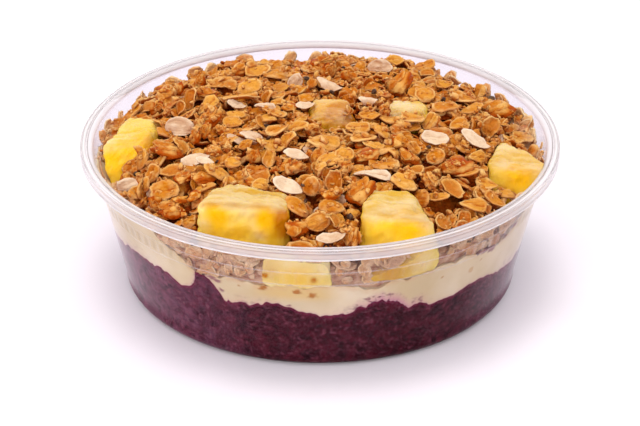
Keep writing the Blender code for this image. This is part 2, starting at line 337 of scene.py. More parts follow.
def make_tub():
    under_flange = TUB_HEIGHT - WALL
    foot_radius = WALL_FOOT_RADIUS - BASE_CORNER
    outside = list(FOOT_RING)
    outside += [(r, z, 0.0) for r, z in arc(foot_radius, BASE_CORNER, BASE_CORNER, -90, 0, 12)]
    levels = [np.linspace(5.5, 33.0, 14), (33.3, 33.5, 33.75, 34.0), np.linspace(34.3, 37.9, 9)]
    levels += [(38.2, 38.4, 38.65, 38.95), np.linspace(39.6, under_flange - 0.5, 6)]
    for height in np.concatenate(levels):
        inset = sum(STEP_DEPTH * (1.0 - smooth_step(height, s, s + 0.35)) for s in STEP_HEIGHTS)
        line = max(bell(height - step - 0.1, 0.22) for step in STEP_HEIGHTS)
        outside.append((wall_radius(height) - inset, height, 0.004 + STEP_MILK * line))
    outside += [(wall_radius(under_flange) + 0.1, under_flange - 0.1, 0.2)]
    rim = [(wall_radius(under_flange) + 0.5, under_flange, 0.1)]
    rim += [(RIM_RADIUS - 1.6, under_flange, 0.1)]
    rim += [(r, z, 0.1) for r, z in arc(RIM_RADIUS - 1.4, under_flange - 0.6, 0.6, 90, 0, 4)]
    rim += [(RIM_RADIUS - 0.8, 47.0, 0.1), (RIM_RADIUS - 0.8, SKIRT_FOOT + 0.3, 0.3)]
    rim += [(r, z, 0.9) for r, z in arc(RIM_RADIUS - 0.4, SKIRT_FOOT + 0.4, 0.4, 180, 340, 7)]
    rim += SKIRT_AND_BEADS
    lip_centre = inner_radius(TUB_HEIGHT - LIP_ROUND) + 1.25
    lip_arc = arc(lip_centre, TUB_HEIGHT - LIP_ROUND, LIP_ROUND, 80, 180, 9)
    rim += [(lip_centre + 0.7, 49.08, 0.45)] + [(r, z, 0.55) for r, z in lip_arc]
    levels = (47.4, 46.0, 43.0, 40.0, 39.0, 38.6, 38.3, 38.0, 36.0, 34.0, 33.6, 33.3, 33.0)
    inside = [(inner_radius(z), z, 0.1 if z > 47 else 0.03) for z in levels]
    inside += [(inner_radius(z), z, 0.03) for z in (29.0, 24.0, 18.0, 12.0, 7.0)]
    inside += [(r, z, 0.02) for r, z in inner_corner(0.0)[::-1]]
    inside += [(48.0, BASE_PUSH_UP + WALL, 0.02), (6.0, BASE_PUSH_UP + WALL, 0.02)]
    profile = np.array(outside + rim + inside)
    radii, heights, milk = (np.repeat(profile[:, k : k + 1], AROUND, 1) for k in range(3))
    ribbed = np.arange(len(profile)) < len(outside)
    ribbed = ribbed * smooth_step(profile[:, 1], RIB_FOOT - 0.3, RIB_FOOT + 0.5)
    ribbed = ribbed * (1.0 - smooth_step(profile[:, 1], RIB_HEAD - 0.5, RIB_HEAD + 0.2))
    rib = np.cos(np.radians(AZIMUTHS) * RIB_COUNT)
    radii = radii + RIB_DEPTH * np.outer(ribbed, rib - 1.0) / 2.0
    # The ribs show least at the front, where they are seen face on.
    from_front = np.abs(turn_from(AZIMUTHS, 0.0))
    rib_milk = 0.05 + 0.17 * smooth_step(from_front, 30.0, 50.0)
    milk = milk + np.outer(ribbed, rib_milk * np.clip(rib, 0, 1) ** 2)
    # Painted shade in the rib valleys darkens the plastic's tint, more at the sides than at the front.
    shade = 0.2 + 0.8 * smooth_step(from_front, 28.0, 46.0)
    rib_valley_shade = np.outer(ribbed, shade * np.clip(-rib, 0, 1) ** 2)
    points, faces = turned(radii, heights)
    row_of = faces[:, 0] // AROUND
    milky = (row_of >= len(outside)) & (row_of < len(outside) + len(rim) - 2)
    clear = clear_plastic("clear plastic", (228, 225, 229), (222, 213, 220), 0.44, 0.0, 1.12)
    cloudy = clear_plastic("milky rim plastic", (234, 230, 228), (228, 221, 222), 0.5, 0.05, 1.25)
    marks = {
        "milk": with_poles(milk, 0.02, 0.02),
        "haze": with_poles(smooth_step(heights, 3.0, 9.0)),
        "rib": with_poles(rib_valley_shade),
    }
    tub = mesh_piece("tub", points, faces, [clear, cloudy], milky, marks)
    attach(tub, "root")
    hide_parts("bowl")


make_tub()


# ---------------------------------------------------------------------------
# Acai. A thick, half-frozen berry puree blended with ice and scooped into the
# tub, which it fills from wall to wall. Its surface is left torn and uneven,
# and seeds and ice crystals show in it against the clear wall. The frost mark
# also paints it lighter on the left and the sides: painted light.
# ---------------------------------------------------------------------------

PRESS = 0.3
# The plastic left outside the puree at the rounded foot.
FOOT_SKIN = 0.15
ACAI_MIDDLE = 24.0
# Height at the wall, by azimuth: the puree's surface, spooned and torn.
ACAI_EDGE = (
    (-71.5, 24.7), (-62, 26.5), (-54, 26.9), (-47, 27.1), (-43, 25.3), (-40, 24.0), (-37.4, 24.0),
    (-36.0, 24.6), (-35.0, 25.6), (-34.3, 27.4), (-34.0, 29.4), (-33.6, 31.6), (-32.4, 31.9),
    (-29.8, 30.8), (-27.5, 28.1), (-26, 24.1), (-24, 23.1), (-20, 23.4), (-16, 23.4),
    (-14.6, 24.8), (-10.6, 25.5), (-5.8, 23.5), (-1.6, 21.6), (2.5, 20.3), (6.7, 20.9),
    (9.7, 23.9), (14, 25.3), (18, 25.6), (21, 23.0), (25, 21.1), (31, 19.5), (36, 20.0),
    (42, 21.3), (48, 22.1), (57, 19.9), (62, 19.2), (68, 19.2), (80, 20.6), (92, 23.2),
    (104, 25.0), (114, 24.2), (124, 22.0), (136, 20.8), (148, 23.0), (158, 25.6), (166, 26.0),
    (175, 23.6), (186, 21.0), (198, 20.0), (208, 21.4), (216, 25.2), (222, 27.0), (228, 25.8),
    (238, 22.6), (251, 21.3), (264, 22.0), (276, 23.4),
)

# How frosted the puree is at the wall, by azimuth: partly ice crystals, partly painted light, most on
# the left.
ACAI_FROST_AND_LIGHT = (
    (-100, 0.8), (-72, 0.7), (-60, 0.6), (-50, 0.5), (-38, 0.42), (-28, 0.25), (-18, 0.05),
    (24, 0.0), (38, 0.05), (50, 0.2), (62, 0.4), (80, 0.6), (110, 0.3), (140, 0.5), (170, 0.2),
    (200, 0.6), (230, 0.3),
)


def edge_height(knots):
    """A height all round the wall, drawn smoothly through (azimuth, height) knots."""
    where, height = np.array(knots).T
    where = np.concatenate([where - 360.0, where, where + 360.0])
    return np.interp(AZIMUTHS, where, np.tile(height, 3))


def torn(seed, sizes, lengths):
    """A ragged offset round the wall: one random wave for each size and length."""
    draw = np.random.default_rng(seed)
    total = np.zeros(AROUND)
    for size, length in zip(sizes, lengths):
        knots = max(8, int(round(2 * math.pi * 74.0 / length)))
        values = draw.normal(size=knots)
        steps = AZIMUTHS / 360.0 * knots
        total += size * np.interp(steps, np.arange(knots + 1), np.append(values, values[0]))
    return total


def make_acai():
    ragged = 1.0 + 1.4 * bell(AZIMUTHS - 360.0 + 27.0, 5.0) + bell(AZIMUTHS - 18.0, 8.0)
    edge = edge_height(ACAI_EDGE) + ragged * torn(11, (0.3, 0.3, 0.2), (3.5, 1.5, 0.7))
    floor = BASE_PUSH_UP + WALL - PRESS
    foot_radius = WALL_FOOT_RADIUS - BASE_CORNER
    corner = arc(foot_radius, BASE_CORNER, BASE_CORNER - FOOT_SKIN, -90, 0, 8)
    rows = [(4.0, floor), (30.0, floor), (54.5, floor), (56.5, 0.5), (58.5, FOOT_SKIN)] + corner
    radii = [np.full(AROUND, r) for r, z in rows]
    heights = [np.full(AROUND, z) for r, z in rows]
    foot = corner[-1][1]
    for share in np.linspace(0.0, 1.0, 15)[1:]:
        height = foot + (edge - foot) * share
        heights.append(height)
        deeper = (WALL - PRESS - FOOT_SKIN) * (1.0 - smooth_step(height, BASE_CORNER, 8.0))
        radii.append(inner_radius(height) + PRESS + deeper - 0.12 * (share == 1.0))
    for share in (0.985, 0.96, 0.9, 0.8, 0.6, 0.3, 0.08):
        radii.append(inner_radius(edge) * share)
        heights.append(ACAI_MIDDLE + (edge - ACAI_MIDDLE) * share**3.5 - 0.4 * (share < 0.98))
    points, faces = turned(radii, heights)
    marks = {
        "depth": with_poles([edge - height for height in heights], 20.0),
        "frost_and_light": with_poles(np.tile(edge_height(ACAI_FROST_AND_LIGHT), len(heights))),
    }

    made, tree, place = new_material("acai puree")
    deep = mottled(tree, place, 170.0, 6.0, 0.16, dark=(42, 8, 18), light=(80, 19, 33))
    veil = mottled(tree, place, 340.0, 6.0, 0.12, 0.52, dark=(34, 6, 15), light=(82, 19, 35))
    grain = mottled(tree, place, 900.0, 3.0, 0.05, 0.61)["Mask"]
    fibres = mottled(tree, stretched(tree, place, 1.0, 1.0, 1.9), 430.0, 5.0, 0.05, 0.6)["Mask"]
    ice = mottled(tree, place, 300.0, 6.0, 0.1)["Mask"]
    pits = mottled(tree, place, 360.0, 4.0, 0.06, 0.4)["Mask"]
    # Frost lightens the puree with ice crystals and with painted light on the left and the sides.
    frost_and_light = mark(tree, "frost_and_light")
    colour = paint(
        tree,
        blend_colours(tree, 0.5, deep["Colour"], veil["Colour"]),
        (frost_and_light, spread(tree, ice, 0.0, 1.0, 0.4, 0.9), (160, 98, 128)),
        (fibres, 0.4, (116, 42, 60)),
        (grain, spread(tree, frost_and_light, 0.0, 1.0, 0.36, 0.85), (148, 78, 100)),
        (inverse(tree, pits), 0.6, (26, 5, 14)),
        (spread(tree, mark(tree, "depth"), 0.0, 1.5, 0.6, 0.0), 1.0, (136, 40, 76)),
    )
    roughness = spread(tree, grain, 0.0, 1.0, 0.5, 0.3)
    normal = bumped(tree, grain, 0.35, 0.0003)
    finish_material(tree, shaded(tree, colour, roughness, normal, {"Specular IOR Level": 0.05}))
    puree = mesh_piece("acai_puree", points, faces, [made], marks=marks)
    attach(puree, "root")
    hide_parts("acai_layer")
    return edge


acai_edge = make_acai()


# ---------------------------------------------------------------------------
# Cream. A smooth pale cream poured over the puree, which it covers; it ran up
# the wall at the two sides, and picked up purple streaks where it touched the
# puree.
# ---------------------------------------------------------------------------

CREAM_MIDDLE = 33.0
CREAM_EDGE = (
    (-96, 42.0), (-84, 43.5), (-66, 43.4), (-58, 43.8), (-51, 42.8), (-47, 41.8), (-44.5, 40.4),
    (-42.5, 38.8), (-40.4, 37.4), (-38.4, 36.2), (-36.4, 34.8), (-35.0, 33.6), (-33.8, 33.0),
    (-29.6, 32.7), (-26, 32.4), (-22, 33.4), (-18, 34.0), (-14, 33.2), (-4, 32.4), (2.4, 32.8),
    (7, 33.0), (11.5, 31.6), (15.5, 31.6), (20, 32.6), (24.5, 33.6), (29.3, 33.6), (34, 34.6),
    (39.4, 34.7), (45, 33.7), (52.7, 33.2), (57.4, 34.9), (61, 37.5), (66, 40.6), (76, 42.2),
    (86, 42.0), (96, 39.6), (108, 34.6), (118, 32.2), (132, 33.0), (146, 35.0), (156, 34.6),
    (168, 32.6), (180, 31.9), (194, 33.4), (208, 35.0), (222, 33.8), (236, 33.2), (250, 36.6),
    (258, 40.4),
)
# Purple streaks in the cream's foot: azimuth, half width, strength.
STREAKED = (
    (-33, 2.4, 1.0), (15, 6.0, 1.3), (23, 5.0, 1.1), (-19, 5.0, 0.35), (-60, 8.0, 0.3),
    (63, 5.0, 0.4),
)
# How fast streaks, clumps and gaps fade: to half at their half width.
HALVING = 0.69
# Drops on the cream at the wall: azimuth, height, half width and height in mm.
PUREE_DROPS = (
    (-28.6, 31.2, 1.3, 0.9), (-27.0, 30.4, 1.5, 0.7), (-26.2, 27.0, 1.1, 0.6),
    (-31.5, 31.8, 1.4, 0.8), (12.2, 26.9, 0.8, 0.4), (14.0, 27.6, 0.5, 0.3),
    (51.0, 33.4, 2.6, 0.6), (55.0, 34.4, 3.4, 0.7), (59.5, 36.4, 2.4, 0.8), (47.0, 33.4, 3.0, 0.8),
    (50.0, 32.4, 2.0, 0.7), (57.0, 38.4, 1.6, 1.6), (-8.0, 24.8, 0.7, 0.4), (27.0, 23.6, 0.8, 0.4),
)
BROWN_SPECKS = (
    (-14.5, 31.2, 1.0, 1.1), (-5.7, 30.6, 1.1, 1.1), (-2.0, 29.2, 1.1, 1.0),
    (-21.0, 30.6, 0.6, 0.4), (33.0, 29.5, 0.5, 0.3), (46.0, 30.4, 0.5, 0.3),
)


def cloud(points, length, seed, octaves=2):
    """Smooth random values from about -1 to 1 at each point."""
    shift = Vector((seed * 7.31, seed * 3.17, seed * 5.93))
    spots = [Vector(point) / length + shift for point in np.asarray(points, float)]
    return np.array([noise.fractal(spot, 1.0, 2.0, octaves) for spot in spots])


def drops_at(turn, height, drops, seed):
    """How much of a drop lies at each point of the wall, with ragged edges."""
    places = np.stack([turn.ravel() * DEGREE, height.ravel(), np.full(turn.size, seed)], -1)
    ragged = 1.0 + 0.55 * cloud(places, 0.9, seed, 3).reshape(turn.shape)
    total = np.zeros(turn.shape)
    for azimuth, middle, half_width, half_height in drops:
        across = turn_from(turn, azimuth) * DEGREE / half_width
        away = np.hypot(across, (height - middle) / half_height) * ragged
        total = np.maximum(total, 1.0 - smooth_step(away, 0.7, 1.25))
    return total


def make_cream():
    edge = edge_height(CREAM_EDGE) + torn(23, (0.6, 0.5, 0.3), (6.0, 2.4, 1.1))
    foot = np.minimum(acai_edge - 2.5, edge - 3.0)
    press = PRESS - 0.14
    radii, heights = [], []
    for share in (0.05, 0.4, 0.75, 0.92, 0.985):
        radii.append(inner_radius(foot) * share)
        heights.append(ACAI_MIDDLE - 1.0 + (foot - ACAI_MIDDLE + 1.0) * share**3.5)
    for share in np.linspace(0.0, 1.0, 32):
        height = foot + (edge - foot) * share
        heights.append(height)
        radii.append(inner_radius(height) + press - 0.05 * (share in (0.0, 1.0)))
    for share in (0.992, 0.975, 0.95, 0.91, 0.86, 0.8, 0.7, 0.55, 0.35, 0.12):
        radii.append(inner_radius(edge) * share)
        crest = 0.5 * smooth_step(share, 0.9, 0.97) * (share < 0.99)
        heights.append(CREAM_MIDDLE + (edge - CREAM_MIDDLE) * share**7 + crest)
    points, faces = turned(radii, heights)
    rows = np.stack([np.broadcast_to(height, (AROUND,)) for height in heights])
    turn = np.broadcast_to(AZIMUTHS, rows.shape)
    streaks = sum(
        strength * bell(turn_from(AZIMUTHS, middle), half_width, HALVING)
        for middle, half_width, strength in STREAKED
    )
    marks = {
        "above": with_poles(rows - acai_edge, 0.0, 9.0),
        "juicy": with_poles(bell(turn_from(turn, -6.0), 10.0, power=4) * smooth_step(rows, 25.5, 29.5)),
        "streaked": with_poles(np.tile(streaks, len(heights))),
        "puree": with_poles(drops_at(turn, rows, PUREE_DROPS, 3.0)),
        "speck": with_poles(drops_at(turn, rows, BROWN_SPECKS, 8.0)),
        "crest": with_poles(edge - rows, 9.0, 9.0),
    }

    made, tree, place = new_material("cream")
    body = mottled(tree, place, 48.0, 3.0, 0.16, dark=(216, 193, 150), light=(237, 220, 191))
    wisps = mottled(tree, stretched(tree, place, 1.0, 1.0, 1.6), 420.0, 4.0, 0.05, 0.58)["Mask"]
    flecks = mottled(tree, place, 180.0, 2.0, 0.02, 0.71)["Mask"]
    crumbly = mottled(tree, place, 260.0, 4.0, 0.12)["Mask"]
    above = mark(tree, "above")
    near = spread(tree, above, 0.2, 4.2, 1.0, 0.0)
    streaked = combine(tree, "MULTIPLY", near, mark(tree, "streaked"))
    under_crust = spread(tree, mark(tree, "crest"), 0.0, 2.2, 1.0, 0.0)
    colour = paint(
        tree,
        body["Colour"],
        (mark(tree, "juicy"), 0.7, (228, 192, 112)),
        (spread(tree, above, 0.0, 0.9, 0.5, 0.0), 1.0, (214, 148, 160)),
        (streaked, 0.6, (206, 146, 156)),
        (wisps, streaked, (112, 38, 72)),
        (flecks, 0.45, (196, 138, 70)),
        (combine(tree, "MULTIPLY", crumbly, under_crust), 0.6, (214, 166, 118)),
        (mark(tree, "speck"), 0.95, (180, 108, 14)),
        (mark(tree, "puree"), 0.8, (128, 48, 80)),
    )
    roughness = spread(tree, body["Mask"], 0.0, 1.0, 0.28, 0.4)
    normal = bumped(tree, noise_at(tree, place, 120.0, 2.0), 0.15, 0.0006)
    glow = {"Subsurface Weight": 0.25, "Subsurface Radius": (1.0, 0.7, 0.4)}
    glow |= {"Subsurface Scale": 0.002}
    finish_material(tree, shaded(tree, colour, roughness, normal, glow))
    cream = mesh_piece("poured_cream", points, faces, [made], marks=marks)
    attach(cream, "root")
    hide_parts("cream_layer")
    return edge


cream_edge = make_cream()


# ---------------------------------------------------------------------------
# Pineapple. Ripe flesh cut by knife into chunks: soft-edged, wet, with fibres
# running out from the core, deep yellow in the flesh and pale at the cut
# edges, with painted highlights on the cut tops and pale patches and painted
# shade in the brown. Those against the tub are pressed flat on its wall.
# ---------------------------------------------------------------------------

# Each chunk: the four top corners, then the four bottom ones, each front left,
# front right, back right, back left; then how square its edges are.
CHUNKS = (
    (
        ((-73.6, -9.8, 49.4), (-54.0, -1.8, 52.2), (-53.0, 9.0, 52.6), (-64.6, 14.0, 51.3)),
        ((-67.8, -24.6, 37.5), (-55.0, -19.6, 37.0), (-49.0, 3.0, 36.5), (-60.6, 12.0, 37.0)),
        0.54,
    ),
    (
        ((-39.4, -56.6, 55.0), (-9.6, -57.4, 54.0), (-9.6, -47.6, 53.8), (-29.6, -44.6, 56.4)),
        ((-38.6, -59.2, 39.0), (-8.8, -61.0, 39.0), (-9.0, -41.0, 39.0), (-38.6, -41.4, 39.0)),
        0.68,
    ),
    (
        ((11.6, -58.8, 54.4), (35.6, -60.6, 51.8), (29.6, -47.6, 54.2), (16.4, -45.6, 56.4)),
        ((12.6, -73.0, 32.4), (38.6, -71.0, 32.8), (36.6, -46.0, 34.0), (10.6, -46.0, 34.0)),
        0.52,
    ),
    (
        ((53.0, -21.8, 52.0), (71.4, -24.2, 49.0), (74.0, -18.4, 49.9), (59.4, -6.6, 53.0)),
        ((54.6, -33.5, 39.4), (65.6, -33.5, 38.0), (72.0, -15.0, 38.4), (60.4, -5.0, 38.2)),
        0.62,
    ),
    (
        ((-4.4, -2.8, 57.8), (11.8, -3.0, 57.2), (10.6, 13.0, 59.6), (-3.2, 14.2, 59.8)),
        ((-4.6, -3.4, 43.0), (12.4, -3.6, 43.0), (12.0, 12.6, 43.0), (-3.8, 12.8, 43.0)),
        0.25,
    ),
    (
        ((21.0, 2.6, 55.6), (35.9, 2.2, 56.2), (35.6, 14.6, 57.6), (21.8, 15.0, 57.8)),
        ((21.8, 2.4, 43.2), (35.2, 2.0, 43.2), (35.4, 15.6, 43.2), (22.0, 15.8, 43.2)),
        0.45,
    ),
    (
        ((-17.6, -73.0, 44.4), (3.0, -74.2, 44.4), (3.0, -63.6, 42.0), (-17.0, -63.0, 42.0)),
        ((-18.2, -71.4, 31.7), (3.4, -72.6, 31.7), (3.2, -63.0, 31.8), (-17.6, -62.8, 31.8)),
        0.62,
    ),
)
# Riper places on them, pale places that are partly painted highlights, and brown places that are partly
# painted shade: x, y, z, radius, strength.
RIPE = (
    (-68.4, -9.7, 48.8, 4.5, 1.0), (-64.3, -6.6, 51.0, 3.4, 0.9), (-58.0, -5.5, 52.0, 4.4, 1.2),
    (-61.0, -10.5, 48.2, 3.6, 0.9), (-66.5, -14.0, 45.5, 4.4, 0.8), (-32.6, -57.6, 51.6, 4.2, 1.1),
    (-31.0, -58.2, 47.0, 3.4, 0.5), (-16.8, -58.0, 49.4, 4.6, 1.3), (-25.5, -58.4, 45.0, 5.0, 0.6),
    (25.0, -62.3, 49.4, 5.0, 0.8), (28.6, -63.4, 47.4, 3.6, 1.0), (17.4, -63.0, 46.4, 3.2, 0.5),
    (21.0, -61.0, 51.6, 4.0, 0.4), (62.0, -22.9, 49.7, 2.8, 0.8), (66.0, -24.9, 47.4, 4.0, 1.1),
    (61.4, -26.4, 45.4, 4.0, 0.6), (-7.0, -72.0, 36.0, 6.0, 0.5), (1.0, 5.0, 57.0, 5.4, 0.8),
    (-3.0, 0.0, 56.0, 4.0, 0.6),
)
PALE_AND_HIGHLIGHT = (
    (-68.4, -5.0, 51.4, 3.0, 1.2), (-64.6, -3.0, 53.0, 3.0, 0.9), (-64.6, -10.4, 48.0, 2.4, 0.7),
    (-72.0, -8.0, 49.4, 2.6, 1.0), (-36.5, -57.0, 53.6, 2.8, 0.9), (-37.0, -58.0, 48.0, 2.6, 0.7),
    (-31.0, -52.0, 56.4, 5.0, 0.9), (-22.5, -57.3, 53.2, 4.0, 1.4), (-14.5, -55.6, 55.2, 4.0, 1.3),
    (-20.7, -58.2, 47.6, 2.0, 0.9), (-19.2, -58.8, 44.4, 2.2, 0.9), (-28.0, -57.0, 54.6, 3.0, 0.7),
    (-27.8, -58.4, 47.4, 2.0, 0.5), (21.0, -57.0, 55.4, 3.0, 1.2), (23.4, -59.0, 54.4, 3.0, 1.2),
    (28.4, -57.4, 54.6, 4.6, 0.8), (34.0, -61.0, 50.0, 3.4, 0.9), (17.6, -60.4, 52.0, 2.4, 0.7),
    (61.0, -13.0, 52.0, 4.5, 0.8), (59.6, -21.6, 51.4, 3.0, 1.1), (69.0, -21.4, 51.0, 3.4, 1.1),
    (73.0, -17.0, 47.0, 2.4, 0.8), (71.0, -24.0, 48.0, 2.6, 0.6), (27.0, 10.0, 57.2, 3.6, 1.6),
    (29.0, 7.0, 56.0, 3.0, 1.6), (23.9, 13.0, 56.4, 2.4, 1.2), (1.0, 10.0, 58.0, 2.2, 0.7),
    (-8.0, -73.0, 43.6, 3.0, 0.7), (1.0, -73.5, 41.0, 2.4, 0.6), (22.0, -70.0, 36.6, 7.0, 0.35),
    (33.0, -66.0, 37.6, 6.0, 1.0),
)
BROWN_AND_SHADE = (
    (-55.0, -6.0, 50.0, 3.2, 0.9), (-56.0, -12.0, 47.0, 3.4, 0.7), (-12.4, -58.2, 48.6, 2.6, 0.6),
    (-10.0, -58.5, 50.0, 3.0, 1.0), (-10.4, -58.8, 46.0, 3.6, 1.2),
    (-34.4, -58.6, 44.6, 3.6, 0.35), (-12.6, -57.4, 53.0, 2.8, 0.3),
    (-13.0, -57.8, 50.2, 2.6, 0.7), (33.4, -60.6, 51.0, 4.4, 0.4), (22.0, -70.0, 37.0, 9.0, 0.6),
    (12.4, -60.0, 49.0, 3.0, 0.6), (5.5, 3.4, 56.4, 2.6, 1.6), (8.6, 4.6, 55.6, 2.6, 1.0),
    (11.0, 5.0, 55.0, 4.4, 1.2), (2.0, 2.0, 54.6, 3.4, 1.0), (9.0, 1.0, 55.0, 4.0, 1.0),
    (6.0, 2.6, 57.4, 2.6, 1.2), (-17.1, -69.8, 36.3, 0.9, 1.6), (-1.9, -71.8, 35.4, 1.1, 1.3),
    (-16.0, -70.5, 39.0, 4.0, 0.4), (59.0, -30.0, 43.6, 4.0, 0.6), (-66.0, -21.0, 41.5, 5.0, 0.4),
    (24.4, 5.0, 54.0, 2.6, 1.0), (32.6, 4.6, 54.0, 3.0, 0.6),
)
# How much painted shade darkens each chunk all over, laid on in the brown colour.
SHADED = (0.06, 0.04, 0.04, 0.3, 0.5, 0.12, 0.0)
# How strongly the cut on top of each chunk is painted: highlight streaks on its ridges, golden between
# them, and dimmed all over as painted shade.
CUT_TOP_PAINTED_LIGHT = (0.3, 1.0, 0.85, 0.5, 0.45, 0.7, 0.0)
CHUNK_CELLS = 26
# The last chunk is pressed on the wall, under the granola and half in the cream.
PRESSED = 6


def mesh_arrays(bm):
    """The points and faces of a bmesh, which is then freed."""
    points = np.array([v.co for v in bm.verts])
    faces = np.array([[v.index for v in f.verts] for f in bm.faces])
    bm.free()
    return points, faces


def cube_grid(cells):
    """The points and triangles of a cube from -1 to 1 with a grid on each side."""
    bm = bmesh.new()
    bmesh.ops.create_cube(bm, size=2.0)
    bmesh.ops.subdivide_edges(bm, edges=bm.edges, cuts=cells - 1, use_grid_fill=True)
    bmesh.ops.triangulate(bm, faces=bm.faces)
    return mesh_arrays(bm)


CUBE_POINTS, CUBE_FACES = cube_grid(CHUNK_CELLS)


def pineapple_flesh():
    made, tree, place = new_material("pineapple flesh")
    flesh = mottled(tree, place, 95.0, 3.0, 0.2, dark=(226, 182, 18), light=(235, 204, 74))
    threads = mottled(tree, place, 330.0, 3.0, 0.1, 0.56)["Mask"]
    along = mottled(tree, stretched(tree, place, 0.3, 1.5, 1.0), 300.0, 4.0, 0.12)["Mask"]
    down = mottled(tree, stretched(tree, place, 1.4, 1.4, 0.3), 260.0, 4.0, 0.16, 0.55)["Mask"]
    grain, cut = mark(tree, "fibre"), mark(tree, "cut")
    # On the cut top the ridges get painted highlight streaks and the rest a golden tone, and then the
    # whole top is dimmed: painted shade against the light on top.
    ridges = combine(tree, "MULTIPLY", along, cut)
    colour = paint(
        tree,
        flesh["Colour"],
        (grain, 0.12, (240, 208, 100)),
        (threads, 0.08, (242, 216, 120)),
        (mark(tree, "edge"), 0.15, (238, 206, 110)),
        (down, 0.2, (250, 222, 120)),
        # The pale patches are partly painted highlights, and the brown ones partly painted shade.
        (mark(tree, "pale"), 0.9, (246, 226, 172)),
        (mark(tree, "ripe"), 1.0, (250, 192, 0)),
        (mark(tree, "brown_and_shade"), 0.95, (194, 114, 0)),
        (combine(tree, "SUBTRACT", cut, ridges), 0.4, (232, 176, 74)),
        (ridges, 0.75, (250, 234, 194)),
    )
    colour = blend_colours(tree, cut, colour, rgb(224, 210, 186), "MULTIPLY")
    low_relief = combine(tree, "MULTIPLY", threads, 0.5)
    relief = combine(tree, "ADD", grain, low_relief, combine(tree, "MULTIPLY", ridges, 1.5))
    wet = {"Specular IOR Level": 0.08, "Coat Weight": 0.08, "Coat Roughness": 0.12}
    wet |= {"Subsurface Weight": 0.4, "Subsurface Radius": (1.0, 0.75, 0.1)}
    wet |= {"Subsurface Scale": 0.0025}
    roughness = spread(tree, threads, 0.0, 1.0, 0.2, 0.36)
    finish_material(tree, shaded(tree, colour, roughness, bumped(tree, relief, 0.3, 0.0006), wet))
    return made


FLESH = pineapple_flesh()


def patches(points, places):
    """How much of a patch lies at each point."""
    total = np.zeros(len(points))
    for *middle, radius, strength in places:
        away = np.linalg.norm(points - np.array(middle), axis=1)
        total += strength * bell(away, radius, 1.2)
    return np.clip(total, 0.0, 1.0)


def unit(vectors):
    return vectors / np.maximum(np.linalg.norm(vectors, axis=1, keepdims=True), 1e-9)


def keep_inside(points, depth):
    """Pulls points that go further into the tub's wall than a depth back to it."""
    reach = np.hypot(points[:, 0], points[:, 1])
    most = inner_radius(points[:, 2]) + depth
    points[:, :2] *= np.minimum(1.0, most / np.maximum(reach, 1e-9))[:, None]


def make_chunk(count):
    top, bottom, squareness = CHUNKS[count]
    core = np.clip(CUBE_POINTS, -squareness, squareness)
    shape = core + unit(CUBE_POINTS - core) * (1.0 - squareness)
    u, v, w = ((shape + 1.0) / 2.0).T
    points = np.zeros(shape.shape)
    for corners, level in ((bottom, 1.0 - w), (top, w)):
        front_left, front_right, back_right, back_left = np.array(corners)
        front = np.outer(1.0 - u, front_left) + np.outer(u, front_right)
        back = np.outer(1.0 - u, back_left) + np.outer(u, back_right)
        points += (front * (1.0 - v)[:, None] + back * v[:, None]) * level[:, None]
    local = points - np.array([bottom, top]).reshape(-1, 3).mean(0)
    uneven = cloud(local, 8.0, 1.0 + count)
    lumpy = cloud(local, 3.0, 61.0 + count)
    fibre = cloud(local * np.array([1.0, 1.0, 0.25]), 1.4, 21.0 + count, 3)
    pits = smooth_step(cloud(local, 3.0, 41.0 + count), 0.2, 0.6)
    ridged = cloud(local * np.array([0.4, 1.0, 1.0]), 2.4, 71.0 + count)
    on_top = smooth_step(CUBE_POINTS[:, 2], 0.5, 1.0)
    lift = 1.0 * uneven + 0.36 * lumpy + 0.18 * fibre - 0.4 * pits
    lift += (0.25 + 0.3 * on_top) * ridged
    lift *= 0.55 if count == PRESSED else 1.0
    points = points + unit(local) * lift[:, None]
    keep_inside(points, PRESS - 0.2)
    height = points[:, 2]
    warped = points + np.stack([cloud(points, 4.0, seed) for seed in (3.0, 9.0, 15.0)], 1)
    in_cream = 0.4 * (1.0 - smooth_step(height, 32.6, 34.4))
    in_cream = 0.45 + 0.3 * smooth_step(height, 35.5, 38.5) + in_cream
    marks = {
        "fibre": smooth_step(fibre, 0.0, 0.6),
        "edge": smooth_step(np.sort(np.abs(CUBE_POINTS), axis=1)[:, 1], 0.66, 0.97),
        "cut": smooth_step(CUBE_POINTS[:, 2], 0.6, 1.0) * CUT_TOP_PAINTED_LIGHT[count],
        "ripe": patches(warped, RIPE),
        "pale": np.clip(patches(warped, PALE_AND_HIGHLIGHT) + (count == PRESSED) * in_cream, 0, 1),
        "brown_and_shade": np.clip(patches(warped, BROWN_AND_SHADE) + SHADED[count], 0, 1),
    }
    chunk = mesh_piece(f"pineapple_chunk_{count + 1}", points, CUBE_FACES, [FLESH], marks=marks)
    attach(chunk, "root")
    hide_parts(f"pineapple_{count + 1}")
    return points


chunk_points = [make_chunk(count) for count in range(len(CHUNKS))]


# ---------------------------------------------------------------------------
# Granola. Rolled oats toasted with syrup till golden, loose and in clusters,
# with crumbs, paler untoasted flakes and a few dark seeds, tipped over the
# cream and heaped round the fruit. A crumbly core carries the loose pieces.
# ---------------------------------------------------------------------------

HEAP_EDGE = 43.4
HEAP_CROWN = 57.4
HEAP_RADIUS = 73.0
